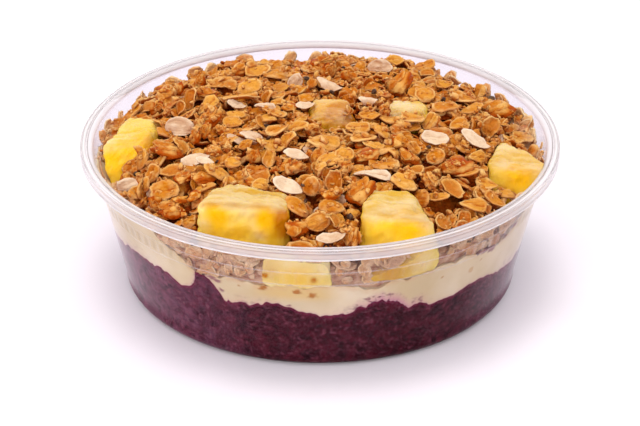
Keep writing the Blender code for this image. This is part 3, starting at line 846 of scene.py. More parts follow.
# Clumps and hollows of the heap: (x, y, rise, half width).
HEAP_CLUMPS = (
    (-29, 58, 2.6, 8), (5, 57, 2.0, 12), (31, 57, 3.0, 8), (-9, 69, -3.4, 8), (47, 51, -1.6, 8),
    (70, 12, -3.0, 11), (-49, 34, 1.2, 10), (-26, -67, -1.4, 8), (20, -36, 1.6, 12),
    (56, 14, 1.6, 10), (4, -5, -3.0, 6), (28, -2, -1.6, 5), (-7, -66, -1.0, 7),
    (-66, -21, -2.2, 7), (61, -36, -1.6, 6),
)
CELL = 0.5
SPAN = 76.0
AXIS = np.arange(-SPAN, SPAN + CELL / 2, CELL)
GRID_X, GRID_Y = np.meshgrid(AXIS, AXIS, indexing="ij")
GRID_R = np.hypot(GRID_X, GRID_Y)


def heap_height(x, y):
    """Height of the heap's outside over a point: a dome with clumps and hollows."""
    share = np.clip(np.hypot(x, y) / inner_radius(HEAP_EDGE), 0.0, 1.0)
    height = HEAP_EDGE + (HEAP_CROWN - HEAP_EDGE) * (1.0 - share**2.5)
    for middle_x, middle_y, rise, half_width in HEAP_CLUMPS:
        away = np.hypot(x - middle_x, y - middle_y)
        height = height + rise * bell(away, half_width, HALVING)
    return height


def cell_of(value):
    return np.clip(np.rint((value + SPAN) / CELL).astype(int), 0, len(AXIS) - 1)


def sample(grid, x, y):
    return grid[cell_of(x), cell_of(y)]


def fruit_tops():
    """The height of the fruit over each cell, and 0 where there is none."""
    tops = np.zeros(GRID_X.shape)
    for points in chunk_points[:PRESSED]:
        for dx in (-CELL, 0.0, CELL):
            for dy in (-CELL, 0.0, CELL):
                cells = (cell_of(points[:, 0] + dx), cell_of(points[:, 1] + dy))
                np.maximum.at(tops, cells, points[:, 2])
    return tops


def lumps(length, seed):
    """Smooth random values from about -1 to 1 over the grid."""
    step = 2.0
    coarse = np.arange(-SPAN, SPAN + step, step)
    spots = [[Vector((x / length, y / length, seed)) for y in coarse] for x in coarse]
    found = np.array([[noise.fractal(spot, 1.0, 2.0, 2) for spot in row] for row in spots])
    at = (AXIS + SPAN) / step
    rows = np.array([np.interp(at, np.arange(len(coarse)), row) for row in found])
    return np.array([np.interp(at, np.arange(len(coarse)), column) for column in rows.T]).T


# Open gaps between the pieces: x, y, radius, and 1 where cream shows at the bottom.
GAPS = (
    (-2, 20, 2.0, 0), (12, 5, 2.7, 0), (41, 6, 2.0, 0), (-31, 27, 2.0, 0), (-15, 35, 1.7, 0),
    (-43, -38, 2.3, 0), (-6, -15, 2.0, 0), (13, -30, 2.7, 0), (27, -30, 1.7, 0), (21, -17, 1.3, 0),
    (-2, -52, 2.0, 0), (-8, -55, 1.7, 0), (3, -63, 1.3, 0), (63, 11, 2.3, 0), (46, -17, 1.7, 0),
    (-37, -13, 2.3, 0), (22, 29, 1.7, 0), (25, 20, 2.0, 0), (-13, -22, 2.0, 0), (33, -23, 2.0, 0),
    (-40, 20, 1.7, 0), (-2, -47, 2.3, 0), (-26, -24, 2.0, 0), (-4, -35, 1.7, 0), (38, -45, 3.0, 0),
    (-48, -11, 1.7, 0), (-24, -2, 2.0, 0), (-24, -27, 2.7, 1), (-42, -43, 2.0, 1),
    (35, -25, 2.7, 1), (50, -31, 2.3, 1), (9, -56, 1.7, 1), (4, -65, 2.3, 1), (-56, -39, 1.7, 1),
    (30, -28, 1.7, 1), (-5, -45, 1.3, 1), (-41, -47, 2.0, 1),
)


def gap_depth(x, y, creamy=0):
    """How much of a gap is open over each point, from 0 to 1."""
    total = np.zeros(np.shape(x))
    for middle_x, middle_y, radius, cream_below in GAPS:
        if cream_below >= creamy:
            away = np.hypot(x - middle_x, y - middle_y)
            total = np.maximum(total, bell(away, radius, HALVING, 4))
    return total


CORE_DEPTH = 5.5
# The heap ends at this height against the wall.
SHOULDER = 46.0
# How steeply the view over the front of the rim looks down, and where it clears it.
SIGHT_SLOPE, SIGHT_START = 0.53, -75.6
gaps = gap_depth(GRID_X, GRID_Y)
fruit_top = fruit_tops()
# Heights over the grid: of the heap, of what lies on it at most, and of its core.
target = heap_height(GRID_X, GRID_Y) + 1.8 * lumps(9.0, 2.0)
roof = target + 0.9 - 4.0 * gaps
core_top = target - CORE_DEPTH + 1.0 * lumps(4.5, 7.0) - 1.2 * gaps
# The fruit at the front stands clear down to where the rim hides it.
for left, right in ((-40.0, -8.5), (13.0, 35.0)):
    in_front = (GRID_X > left) & (GRID_X < right) & (GRID_Y < -56.0)
    sight = TUB_HEIGHT - SIGHT_SLOPE * (GRID_Y - SIGHT_START)
    roof = np.where(in_front, np.minimum(roof, sight), roof)
    core_top = np.where(in_front, np.minimum(core_top, sight - 2.5), core_top)
beyond = GRID_R > inner_radius(SHOULDER) - 0.4
blocked = beyond | (fruit_top > target - 1.2)
# How high the pieces laid so far reach.
pile = np.where(beyond, 200.0, np.maximum(core_top, fruit_top - 0.6))

# Each look: its dark, middle and light tones, the painted shade of its grooves, undersides
# and deep places, and its pale edges with painted highlights; how rough it is; and how
# deep its bran is, in metres.
LOOKS = {
    "granola core": (
        (144, 52, 0), (172, 76, 0), (204, 124, 48), (120, 36, 0), (224, 192, 156), 0.5, 0.0005,
    ),
    "toasted oats": (
        (180, 80, 0), (204, 117, 8), (229, 162, 64), (172, 60, 0), (246, 204, 136), 0.5, 0.0005,
    ),
    "oat clusters": (
        (180, 82, 0), (206, 118, 16), (230, 162, 70), (168, 56, 0), (244, 200, 128), 0.5, 0.0005,
    ),
    "syrupy pieces": (
        (176, 76, 0), (200, 108, 6), (224, 150, 50), (166, 56, 0), (240, 192, 110), 0.36, 0.0004,
    ),
    "pale flakes": (
        (200, 154, 118), (220, 182, 147), (238, 212, 179), (180, 106, 54), (243, 222, 197), 0.36, 0.0003,
    ),
    "dark seeds": (
        (44, 22, 20), (66, 38, 30), (104, 70, 54), (30, 12, 10), (140, 108, 90), 0.35, 0.0002,
    ),
    "stuck crumbs": (
        (200, 106, 8), (222, 144, 40), (240, 190, 108), (184, 76, 0), (248, 212, 154), 0.5, 0.0005,
    ),
    "granola at the wall": (
        (210, 118, 44), (246, 182, 106), (253, 222, 164), (190, 108, 48), (253, 232, 188), 0.5, 0.0005,
    ),
}
CREAM_SMEAR = (244, 216, 184)


def granola_look(name):
    """Toasted grain: a tone for each piece and a dusty crust, with painted shade on sides, undersides,
    grooves, hollows and deep-lying places, and pale edges with painted highlights.
    """
    dark, middle, light, crease_shade, rim_highlight, roughness, bran_size = LOOKS[name]
    made, tree, _ = new_material(name)
    place = put(tree, "Attribute", attribute_name="own").outputs["Vector"]
    tone, buried_shade, creamed = mark(tree, "tone"), mark(tree, "buried_shade"), mark(tree, "creamed")
    toast = mottled(tree, place, 240.0, 4.0, 0.16, 0.47)["Mask"]
    dust = mottled(tree, place, 560.0, 4.0, 0.1, 0.55)["Mask"]
    fibres = mottled(tree, stretched(tree, place, 0.28, 1.5, 1.0), 900.0, 3.0, 0.12, 0.52)["Mask"]
    # Sides and undersides, which face away from the light above, get painted shade, as do grooves,
    # hollows and places deep in the heap.
    facing = put(tree, "NewGeometry").outputs["Normal"]
    upward = put(tree, "SeparateXYZ", {0: facing}).outputs["Z"]
    painted_shade = combine(tree, "MULTIPLY", spread(tree, upward, 0.85, -0.1), 0.75)
    shaded_crease = combine(tree, "MULTIPLY", mark(tree, "shaded_crease"), 0.8)
    painted_shade = combine(tree, "MAXIMUM", painted_shade, buried_shade, shaded_crease)
    # Edges and high places are painted pale, partly as painted highlights, except where a piece lies
    # deep.
    rim = combine(tree, "MULTIPLY", mark(tree, "rim"), 0.7)
    colour = blend_colours(tree, spread(tree, tone, 0.0, 0.5), rgb(*dark), rgb(*middle))
    colour = paint(
        tree,
        colour,
        (spread(tree, tone, 0.5, 1.0), 1.0, light),
        (inverse(tree, toast), 0.45, dark),
        (dust, 0.35, light),
        (fibres, 0.25, light),
        (painted_shade, inverse(tree, creamed), crease_shade),
        (rim, inverse(tree, buried_shade), rim_highlight),
        (creamed, 0.75, CREAM_SMEAR),
    )
    bran = noise_at(tree, place, 800.0, 3.0)
    crust = combine(tree, "MULTIPLY", dust, 0.5)
    relief = combine(tree, "ADD", bran, crust, combine(tree, "MULTIPLY", fibres, 0.5))
    sheen = {"Specular IOR Level": 0.12, "Specular Tint": (1.0, 0.7, 0.3, 1.0)}
    roughness = spread(tree, dust, 0.0, 1.0, roughness - 0.14, roughness + 0.1)
    normal = bumped(tree, relief, 0.9, bran_size)
    finish_material(tree, shaded(tree, colour, roughness, normal, sheen))
    return made


looks = {name: granola_look(name) for name in LOOKS}


def make_core():
    """The crumbly inside of the heap, seen only in the gaps between the flakes."""
    radii, heights = [], []
    turn = np.radians(AZIMUTHS[::2])
    around = len(turn)
    wall_foot = cream_edge[::2] - 2.0
    for share in (0.1, 0.6, 0.95):
        radii.append(inner_radius(wall_foot) * share - 0.6)
        heights.append(CREAM_MIDDLE - 2.0 + (wall_foot - CREAM_MIDDLE + 2.0) * share**7)
    top = sample(core_top, 72.4 * np.sin(turn), -72.4 * np.cos(turn))
    top = np.maximum(top, wall_foot + 2.5)
    for share in np.linspace(0.0, 1.0, 8):
        height = wall_foot + (top - wall_foot) * share
        radii.append(inner_radius(height) - 0.9 - 0.5 * (share == 1.0))
        heights.append(height)
    for share in np.concatenate([np.linspace(0.985, 0.1, 60), [0.05]]):
        radius = HEAP_RADIUS * share
        radii.append(np.full(around, radius))
        heights.append(sample(core_top, radius * np.sin(turn), -radius * np.cos(turn)))
    points, faces = turned(radii, heights, around)
    rough = cloud(points, 2.6, 5.0, 3)
    points[:, 2] += 0.9 * rough * (points[:, 2] > 38)
    reach = np.hypot(points[:, 0], points[:, 1])
    points[:, :2] *= (1.0 - 0.35 * np.abs(rough) / np.maximum(reach, 3.0))[:, None]
    near_wall = smooth_step(reach, 69.5, 71.0)
    creamy = gap_depth(points[:, 0], points[:, 1], creamy=1)
    at_wall = smooth_step(reach, 67.5, 70.0) * (0.3 + 0.6 * smooth_step(rough, -0.3, 0.4))
    creamy = np.maximum(creamy, at_wall)
    # Hollows of the core take painted shade through the groove mask, and its raised places get lighter
    # tones as painted light.
    shaded_creases = np.clip(0.5 - rough, 0, 1) * (1.0 - creamy) * (1.0 - 0.8 * near_wall)
    marks = {
        "tone": np.clip(0.3 + 0.25 * rough + 0.5 * near_wall, 0, 1),
        "shaded_crease": shaded_creases,
        "rim": np.zeros(len(points)),
        "own": points * MM,
        "buried_shade": np.zeros(len(points)),
        "creamed": creamy,
    }
    core = mesh_piece("granola_core", points, faces, [looks["granola core"]], marks=marks)
    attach(core, "root")
    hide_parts("granola_heap")


make_core()


def flake_form(
    draw, spokes=16, plump=1.0, warp=1.0, groove=None, ragged=0.035, cut=9.0, coarse=False
):
    """One rolled oat, for a length and width of 1 and a height in millimetres: a
    plump, wavy pad with a thin cracked rim, sometimes grooved or dished.
    Returns its points, its triangles, a mask of painted shade on its grooves and underside, and one of
    its pale edges and painted highlights."""
    angle = (np.arange(spokes) + 0.25 * draw.uniform(-1, 1, spokes)) * math.tau / spokes
    share = np.array([0.45, 0.8, 0.97] if coarse else [0.3, 0.56, 0.77, 0.91, 0.985])[:, None]
    wobble = 0.1 * draw.normal(size=spokes)
    wobble = 1.0 + (wobble + np.roll(wobble, 1) + np.roll(wobble, 2)) / 3.0
    torn_edge = 1.0 + ragged * draw.normal(size=spokes)
    for crack in draw.integers(0, spokes, 2):
        torn_edge[crack] *= draw.uniform(0.8, 1.0)
    outline = wobble * (1.0 + (torn_edge - 1.0) * share**3)
    pinch = 1.0 - draw.uniform(0.0, 0.08) * np.clip(np.cos(angle), 0, 1) ** 3
    u = share * np.cos(angle) * outline * pinch * 0.5
    u = np.where(u > cut, cut + (u - cut) * 0.12, u)
    v = share * np.sin(angle) * outline * 0.5
    v = v * (1.0 - draw.uniform(-0.2, 0.3) * u)
    bend, twist, curl = draw.normal(0.0, (0.6, 0.6, 0.55)) * warp
    base = bend * 4.0 * u**2 + twist * 4.0 * u * v + curl * 4.0 * v**2
    lift = np.repeat(draw.normal(0.0, 0.3, 6), 3)
    base = base + warp * np.interp(angle, np.linspace(0, math.tau, 18), lift) * share**3
    dome = np.sqrt(1.0 - 0.95 * share**3.4)
    places = np.stack([u * 3.4, v * 3.4, np.full(u.shape, draw.uniform(0, 90))], -1)
    crust = cloud(places.reshape(-1, 3), 1.0, 4.0, 3).reshape(u.shape)
    top = base + plump * (0.16 + 0.72 * dome) + 0.4 * crust * (0.5 + dome)
    line = 0.05 * draw.normal() * np.sin(u * 6.0 + draw.uniform(0, 6))
    inner = 1.0 - smooth_step(share, 0.72, 0.95)
    shaded_crease = np.zeros(u.shape)
    groove = groove or draw.choice(["none", "none", "groove", "groove", "dish", "layers"])
    if groove == "groove":
        shaded_crease = bell(v - line, 0.06) * inner
        lips = bell(np.abs(v - line) - 0.14, 0.05) * inner
        top = top - 0.5 * shaded_crease + 0.14 * lips
    elif groove == "dish":
        top = top - 0.75 * plump * inner
        shaded_crease = 0.5 * inner * np.ones(spokes)
    elif groove == "layers":
        split = np.sin(angle * 2.0 + draw.uniform(0, 6)) > -0.2
        shaded_crease = bell(share - 0.72, 0.09) * split
        top = top - 0.35 * shaded_crease
    under = base - 0.34 * plump * dome + 0.2 * crust
    side = np.clip(np.sin(angle + draw.uniform(0, 6)), 0, 1)
    # One side of the edge is painted pale, and the high places of the crust get painted highlights; none
    # in the groove.
    pale = smooth_step(share, 0.74, 0.98) * (0.35 + 0.65 * side)
    pale = np.clip(pale + 0.9 * np.clip(crust, 0, 1), 0, 1) * (1.0 - shaded_crease)
    middle_top, middle_under = top[0].mean() + 0.06, under[0].mean() - 0.03
    points = [np.array([[0.0, 0.0, middle_top]]), np.stack([u, v, top], -1).reshape(-1, 3)]
    brim = top[-1] * 0.45 + under[-1] * 0.55
    points.append(np.stack([u[-1] * 1.025, v[-1] * 1.025, brim], -1))
    for ring in (-2, -3 if coarse else 1):
        points.append(np.stack([u[ring], v[ring], under[ring]], -1))
    points.append(np.array([[0.0, 0.0, middle_under]]))
    points = np.concatenate(points)
    plain = np.zeros(spokes)
    # The groove mask also lays painted shade on the underside, darkest under the middle.
    shaded_creases = [[shaded_crease[0].mean()], shaded_crease.ravel(), plain, 0.2 + plain, 0.35 + plain, [0.4]]
    pale_rims_and_highlights = [[0.0], pale.ravel(), pale[-1], plain, plain, [0.0]]
    here = np.arange(spokes)
    after = (here + 1) % spokes
    faces = [np.stack([np.zeros(spokes, int), 1 + here, 1 + after], 1)]
    order = [1 + spokes * ring for ring in range(len(share) + 3)]
    for first, second in zip(order, order[1:]):
        faces.append(np.stack([first + here, second + here, second + after], 1))
        faces.append(np.stack([first + here, second + after, first + after], 1))
    last = len(points) - 1
    faces.append(np.stack([np.full(spokes, last), order[-1] + after, order[-1] + here], 1))
    return points, np.concatenate(faces), np.concatenate(shaded_creases), np.concatenate(pale_rims_and_highlights)


def round_form(draw, subdivisions, rough, length=0.34, knobs=0, flatten=0.0):
    """A rough lump of unit size: its points, triangles, hollows, which take painted shade, and high
    places, which take painted highlights.
    """
    bm = bmesh.new()
    bmesh.ops.create_icosphere(bm, subdivisions=subdivisions, radius=0.5)
    points, faces = mesh_arrays(bm)
    bulge = cloud(points, length, draw.uniform(0, 50))
    rise = rough * bulge
    if knobs:
        seeds = unit(draw.normal(size=(knobs, 3)))
        away = np.linalg.norm(points[:, None, :] * 2.0 - seeds[None, :, :], axis=2)
        height = draw.uniform(0.1, 0.34, knobs)
        knob = np.max(height[None, :] - 1.5 * away**2 / (0.6 + height[None, :]), axis=1)
        rise = rise + np.maximum(knob, -0.06)
        bulge = knob * 3.0
    points = points * (1.0 + rise)[:, None]
    for side in unit(draw.normal(size=(5, 3))) if flatten else ():
        over = np.maximum(points @ side - 0.5 * (1.0 - flatten), 0.0)
        points = points - 0.85 * over[:, None] * side
    return points, faces, np.clip(-1.5 * bulge, 0, 1), np.clip(1.2 * bulge, 0, 1)


def random_turn(draw):
    return np.array(Euler(tuple(draw.uniform(0, math.tau, 3)), "XYZ").to_matrix())


def joined(parts):
    """Several meshes made into one: their points, their triangles, and what else is
    known at their points."""
    columns = [list(column) for column in zip(*parts)]
    starts = np.cumsum([0] + [len(points) for points in columns[0]])
    columns[1] = [faces + start for faces, start in zip(columns[1], starts)]
    return tuple(np.concatenate(column) for column in columns)


def cluster_form(draw):
    """Oats and crumbs stuck together round a lump, as a form of unit size."""
    points, *rest = round_form(draw, 3, 0.5, 0.4, knobs=26)
    parts = [(points * 0.8, *rest)]
    for size in draw.uniform(0.5, 0.78, 4):
        points, *rest = flake_form(draw, spokes=12, plump=0.9, ragged=0.08, coarse=True)
        turn = random_turn(draw)
        out = turn[:, 2] if turn[2, 2] > 0 else turn[:, 2] * np.array([1.0, 1.0, -1.0])
        placed = (points * np.array([size, size * 0.72, 0.13])) @ turn.T + out * 0.3
        parts.append((placed, *rest))
    for size in draw.uniform(0.14, 0.26, 12):
        points, *rest = round_form(draw, 1, 0.6, 0.5)
        out = draw.normal(size=3)
        out = out / np.linalg.norm(out) * np.array([0.46, 0.46, 0.44])
        parts.append((points * size + out, *rest))
    return joined(parts)


def slab_form(draw):
    """Oats fused flat with syrup: a faceted slab with ridges and stuck crumbs."""
    parts = [round_form(draw, 3, 0.5, 0.3, knobs=16, flatten=0.28)]
    for size in draw.uniform(0.4, 0.7, 2):
        points, *rest = flake_form(draw, spokes=12, plump=0.8, ragged=0.08, coarse=True)
        spin = draw.uniform(0, math.tau)
        lean = Euler((draw.normal(0, 0.25), draw.normal(0, 0.25), spin), "XYZ")
        shift = np.array([*draw.uniform(-0.22, 0.22, 2), 0.4])
        placed = (points * np.array([size, size * 0.75, 0.25])) @ np.array(lean.to_matrix()).T
        parts.append((placed + shift, *rest))
    return joined(parts)


def tilted(draw, normal, lean):
    """A turn that lays a piece's flat side near a surface, leaning at random."""
    tangent = np.array([normal[2], 0.0, -normal[0]]) + 1e-6
    tangent /= np.linalg.norm(tangent)
    side = np.cross(normal, tangent)
    spin = draw.uniform(0, math.tau)
    along = math.cos(spin) * tangent + math.sin(spin) * side
    across = np.cross(normal, along)
    basis = np.stack([along, across, normal], 1)
    pitch, roll = draw.normal(0.0, lean, 2)
    flip = math.pi * (draw.uniform() < 0.3)
    rock = Euler((math.radians(roll) + flip, math.radians(pitch), 0.0), "XYZ").to_matrix()
    return basis @ np.array(rock)


def slope_at(x, y):
    step = 3.0
    dx = (sample(target, x + step, y) - sample(target, x - step, y)) / (2 * step)
    dy = (sample(target, x, y + step) - sample(target, x, y - step)) / (2 * step)
    normal = np.array([-float(dx), -float(dy), 1.0])
    return normal / np.linalg.norm(normal)


def footprint(size):
    """Points half a millimetre apart over a piece's oval, with a share of its height."""
    across = np.arange(-size[0] / 2, size[0] / 2 + 0.01, 0.5)
    along = np.arange(-size[1] / 2, size[1] / 2 + 0.01, 0.5)
    u, v = np.meshgrid(across, along, indexing="ij")
    inside = (u / size[0]) ** 2 + (v / size[1]) ** 2 <= 0.25
    return np.stack([u[inside], v[inside], np.zeros(inside.sum())], 1)


# Pieces laid on top: kind, x, y, length, width, turn, rise and lean in degrees, tone.
TOP_PIECES = (
    ("pale", -46.0, -1.4, 9.2, 5.9, -1, -3, 62, 0.7),
    ("pale", -61.6, -27.2, 7.7, 4.5, 4, 7, 41, 0.8),
    ("pale", -39.9, -25.2, 10.0, 5.8, 8, 15, 8, 0.55),
    ("pale", -36.6, -28.9, 6.4, 3.7, -4, -7, 7, 0.9),
    ("flake", -32.9, -33.8, 8.9, 6.6, -12, -22, -3, 0.95),
    ("flake", -49.6, -37.2, 9.9, 7.3, 5, 9, 32, 0.5),
    ("slab", -49.0, -17.3, 11.7, 8.4, -6, -11, -2, 0.2),
    ("flake", -46.9, -29.8, 9.0, 6.6, 4, 7, 6, 0.75),
    ("slab", -43.8, -34.2, 7.0, 5.1, 7, 13, 9, 0.12),
    ("slab", -37.4, -35.5, 8.6, 6.2, 0, 0, 7, 0.45),
    ("flake", -44.9, -14.4, 6.5, 4.8, -29, -43, -4, 0.9),
    ("slab", -36.9, -0.2, 9.9, 7.1, 17, 29, 21, 0.3),
    ("flake", -37.0, 11.5, 8.6, 6.4, 25, 39, -4, 0.98),
    ("cluster", -34.3, -21.9, 6.4, 5.5, 0, 0, 0, 0.7),
    ("cluster", -30.4, -19.4, 5.2, 4.5, 0, 0, 0, 0.6),
    ("flake", -57.7, -15.2, 7.2, 5.3, 60, 59, -28, 0.85),
    ("flake", -53.5, -26.8, 7.1, 5.2, 52, 56, 1, 0.5),
    ("flake", -55.5, -32.1, 5.1, 3.8, 69, 61, -33, 0.75),
    ("flake", -28.6, -2.5, 7.2, 5.3, 0, 0, 24, 0.85),
    ("pale", -21.9, -15.7, 7.8, 4.5, -9, -16, 10, 0.5),
    ("flake", -17.1, -3.1, 6.6, 4.8, 0, 0, -3, 0.95),
    ("flake", -19.7, -5.5, 5.6, 4.1, -39, -50, -17, 0.7),
    ("flake", -13.7, -13.4, 8.4, 6.2, 6, 11, -2, 0.6),
    ("flake", -6.9, -11.2, 7.8, 5.8, 10, 18, 3, 0.85),
    ("flake", -10.1, -18.7, 7.1, 5.3, 29, 43, -3, 0.7),
    ("flake", -16.2, -20.5, 11.0, 8.1, -8, -15, -10, 0.95),
    ("slab", -20.9, -26.5, 5.8, 4.8, 60, 59, 26, 0.3),
    ("flake", -16.4, -29.7, 5.8, 4.5, 66, 60, 22, 0.75),
    ("pale", -7.8, -28.5, 8.3, 4.8, -5, -9, 7, 0.6),
    ("flake", 1.2, -20.7, 10.6, 7.9, -1, -3, 9, 0.8),
    ("cluster", -2.4, -12.1, 6.5, 4.5, 0, 0, 0, 0.85),
    ("flake", 3.4, -31.1, 9.6, 7.1, 5, 9, 7, 0.92),
    ("pale", -10.0, -44.9, 10.7, 6.2, -11, -19, 19, 0.8),
    ("flake", -18.7, -42.6, 6.0, 4.4, -5, -9, 29, 0.98),
    ("flake", -2.6, -43.9, 6.6, 5.7, 69, 61, 18, 0.42),
    ("flake", 4.5, -42.9, 8.2, 6.1, 86, 62, -17, 0.4),
    ("flake", 7.9, -29.3, 7.0, 5.2, -2, -4, 30, 0.85),
    ("flake", -27.9, -30.1, 5.8, 4.3, 0, 0, 26, 0.8),
    ("cluster", -8.4, -34.9, 6.4, 5.1, 0, 0, 0, 0.35),
    ("flake", 12.6, -10.5, 8.8, 6.5, 1, 2, 8, 0.75),
    ("flake", 13.8, -17.7, 9.0, 6.7, -1, -2, -11, 0.8),
    ("flake", 20.1, -15.0, 6.5, 4.8, -25, -39, -2, 0.92),
    ("flake", 23.2, -0.7, 7.9, 5.8, -2, -4, -4, 0.9),
    ("slab", 26.0, -19.4, 7.7, 5.6, -15, -26, 19, 0.45),
    ("slab", 28.4, -27.0, 7.7, 5.5, -23, -36, 15, 0.3),
    ("flake", 30.1, -22.5, 5.5, 4.0, -29, -43, 33, 0.75),
    ("flake", 20.9, -33.2, 8.9, 6.6, 4, 7, -4, 0.6),
    ("slab", 14.6, -29.4, 8.6, 6.2, 9, 16, 11, 0.22),
    ("flake", 17.3, -23.0, 7.7, 5.7, -5, -9, -4, 0.95),
    ("pale", 37.4, -13.1, 9.7, 5.7, -4, -7, 31, 0.75),
    ("flake", 36.5, -0.7, 7.2, 5.4, 37, 49, 7, 0.9),
    ("flake", 37.2, -25.1, 7.1, 5.2, 10, 18, 29, 0.5),
    ("slab", 43.2, -28.2, 11.5, 8.3, 2, 4, 18, 0.12),
    ("flake", 26.8, -42.4, 9.2, 6.8, -12, -22, 10, 0.95),
    ("flake", 42.0, -39.7, 8.9, 6.6, -20, -33, 11, 0.9),
    ("pale", 17.0, -39.7, 11.4, 6.6, -3, -5, -7, 0.75),
    ("slab", 12.8, -48.1, 11.9, 8.6, 19, 32, 12, 0.45),
    ("cluster", 34.5, -38.8, 7.0, 5.4, 0, 0, 0, 0.85),
    ("flake", 56.3, 4.3, 7.3, 6.0, 39, 50, 43, 0.75),
    ("pale", 50.4, -10.2, 10.8, 6.2, -14, -25, 11, 0.75),
    ("flake", 51.0, -18.9, 5.5, 4.1, 0, 0, 31, 0.95),
    ("flake", 46.0, -0.1, 7.2, 5.4, 0, 0, 13, 0.6), ("slab", 60.7, 24.7, 12.8, 9.0, 5, 9, 7, 0.55),
    ("flake", 67.4, 10.7, 8.0, 5.9, -6, -11, 4, 0.75),
    ("flake", 69.9, -1.5, 5.6, 4.2, 69, 61, -36, 0.35),
    ("flake", 47.3, -29.4, 9.0, 6.6, 7, 12, -16, 0.9),
    ("flake", 53.4, -30.9, 8.0, 5.9, -11, -19, 9, 0.95),
    ("flake", 48.6, -45.3, 8.9, 6.6, -3, -5, 2, 0.8),
    ("flake", 37.5, -44.3, 7.6, 5.6, 2, 4, 0, 0.8),
    ("flake", 55.6, -39.5, 8.3, 6.1, -18, -30, 0, 0.65),
    ("flake", 59.8, -32.9, 5.8, 4.3, -5, -9, 6, 0.9),
    ("cluster", -52.1, 26.2, 9.1, 5.7, 0, 0, 0, 0.7),
    ("slab", -54.8, 19.4, 5.4, 4.0, 15, 26, 59, 0.15),
    ("slab", -52.6, 42.2, 8.2, 5.9, 5, 9, -8, 0.4),
    ("slab", -47.8, 32.5, 6.1, 4.4, 69, 61, -26, 0.3),
    ("flake", -43.2, 20.7, 8.4, 6.2, 75, 61, -33, 0.5),
    ("flake", -46.2, 14.8, 5.3, 4.0, 60, 59, -17, 0.55),
    ("cluster", -50.9, 14.5, 4.0, 3.7, 0, 0, 0, 0.3),
    ("slab", -41.0, 38.0, 5.1, 4.1, 52, 56, 33, 0.35),
    ("slab", -37.4, 23.2, 8.1, 5.8, -6, -11, 10, 0.35),
    ("flake", -31.2, 29.2, 6.8, 5.0, 0, 0, 7, 0.85),
    ("flake", -23.6, 22.4, 8.7, 6.5, 7, 13, 27, 0.9),
    ("slab", -27.9, 45.3, 6.9, 4.9, 10, 18, 46, 0.3),
    ("flake", -34.0, 42.7, 8.2, 6.1, 10, 18, -1, 0.85),
    ("flake", -20.9, 39.9, 9.6, 7.1, 4, 7, 14, 0.98),
    ("flake", -26.0, 13.0, 13.3, 9.0, 2, 4, -18, 0.95),
    ("pale", -27.6, 8.3, 6.6, 3.8, -5, -9, 14, 0.6),
    ("flake", -27.4, 1.7, 6.6, 4.9, -3, -5, 7, 0.85),
    ("pale", -17.9, 4.3, 6.9, 4.0, -6, -11, 5, 0.4),
    ("flake", -15.2, 0.5, 8.5, 6.3, -9, -16, -14, 0.8),
    ("flake", -14.8, 37.6, 8.9, 6.6, -2, -4, 5, 0.6),
    ("pale", -8.4, 26.9, 6.7, 5.4, 39, 50, 43, 0.3), ("slab", 0.9, 48.5, 8.6, 6.2, 1, 3, 1, 0.18),
    ("slab", 2.6, 38.1, 5.8, 5.1, 39, 50, 43, 0.35),
    ("slab", 9.7, 34.3, 6.1, 4.8, -15, -26, 59, 0.3),
    ("cluster", 12.5, 24.2, 4.0, 3.7, 0, 0, 0, 0.3),
    ("pale", 20.8, 46.3, 8.6, 5.2, 0, 0, 62, 0.35),
    ("flake", 26.2, 53.6, 6.2, 4.6, -2, -4, 19, 0.98),
    ("pale", 3.3, 24.2, 9.7, 5.7, -11, -19, 1, 0.45),
    ("pale", 16.0, 10.7, 6.6, 3.8, -2, -4, 14, 0.75), ("pale", -4.7, 6.0, 6.3, 3.6, 5, 9, 17, 0.6),
    ("flake", -6.8, 20.2, 6.0, 4.5, 5, 9, 12, 0.6), ("slab", -10.0, 5.9, 5.0, 3.6, 0, 0, 25, 0.55),
    ("flake", -6.0, -4.6, 4.3, 3.1, 5, 9, 14, 0.95),
    ("slab", 26.9, 27.6, 12.1, 8.7, 27, 41, -4, 0.5),
    ("flake", 37.0, 46.6, 5.8, 4.3, 0, 0, 15, 0.75),
    ("flake", 36.7, 55.7, 8.3, 6.2, 10, 18, 4, 0.5),
    ("flake", 35.2, 19.9, 7.7, 5.7, -2, -4, 26, 0.85),
    ("flake", 42.4, 35.2, 6.5, 4.8, 0, 0, 15, 0.8),
    ("flake", 44.5, 56.7, 5.6, 4.1, 4, 7, -2, 0.55),
    ("flake", 48.0, 23.9, 10.1, 7.5, -11, -19, -5, 0.7),
    ("flake", 41.7, 10.0, 9.0, 6.6, -1, -2, 4, 0.35),
    ("flake", 54.5, 42.2, 6.9, 5.1, 60, 59, -29, 0.8),
    ("flake", 57.1, 44.7, 6.9, 5.1, 79, 62, -46, 0.7),
    ("flake", 46.0, 23.0, 4.7, 3.5, 39, 50, -9, 0.6),
    ("flake", 51.1, 16.5, 8.7, 6.4, 10, 18, -3, 0.75),
    ("slab", 62.4, 25.1, 6.8, 4.9, -39, -50, 15, 0.4),
    ("slab", 66.7, 22.6, 4.1, 3.0, 69, 61, 18, 0.35),
    ("slab", 68.2, 18.3, 4.0, 2.9, 10, 18, 21, 0.3),
    ("slab", -46.5, -47.0, 9.5, 6.8, 2, 4, 19, 0.22),
    ("slab", -52.2, -41.5, 5.1, 4.1, -39, -50, 43, 0.4),
    ("flake", -58.0, -34.0, 5.8, 4.3, -73, -61, -60, 0.8),
    ("flake", -59.6, -34.2, 4.5, 3.3, -29, -43, -19, 0.7),
    ("flake", -41.2, -54.0, 4.7, 3.5, -2, -4, 23, 0.75),
    ("slab", -39.6, -44.7, 4.7, 3.4, 15, 26, 34, 0.5),
    ("flake", -36.3, -39.7, 7.6, 5.6, 10, 18, -9, 0.75),
    ("flake", -7.3, -53.3, 9.7, 7.2, -20, -33, 3, 0.5),
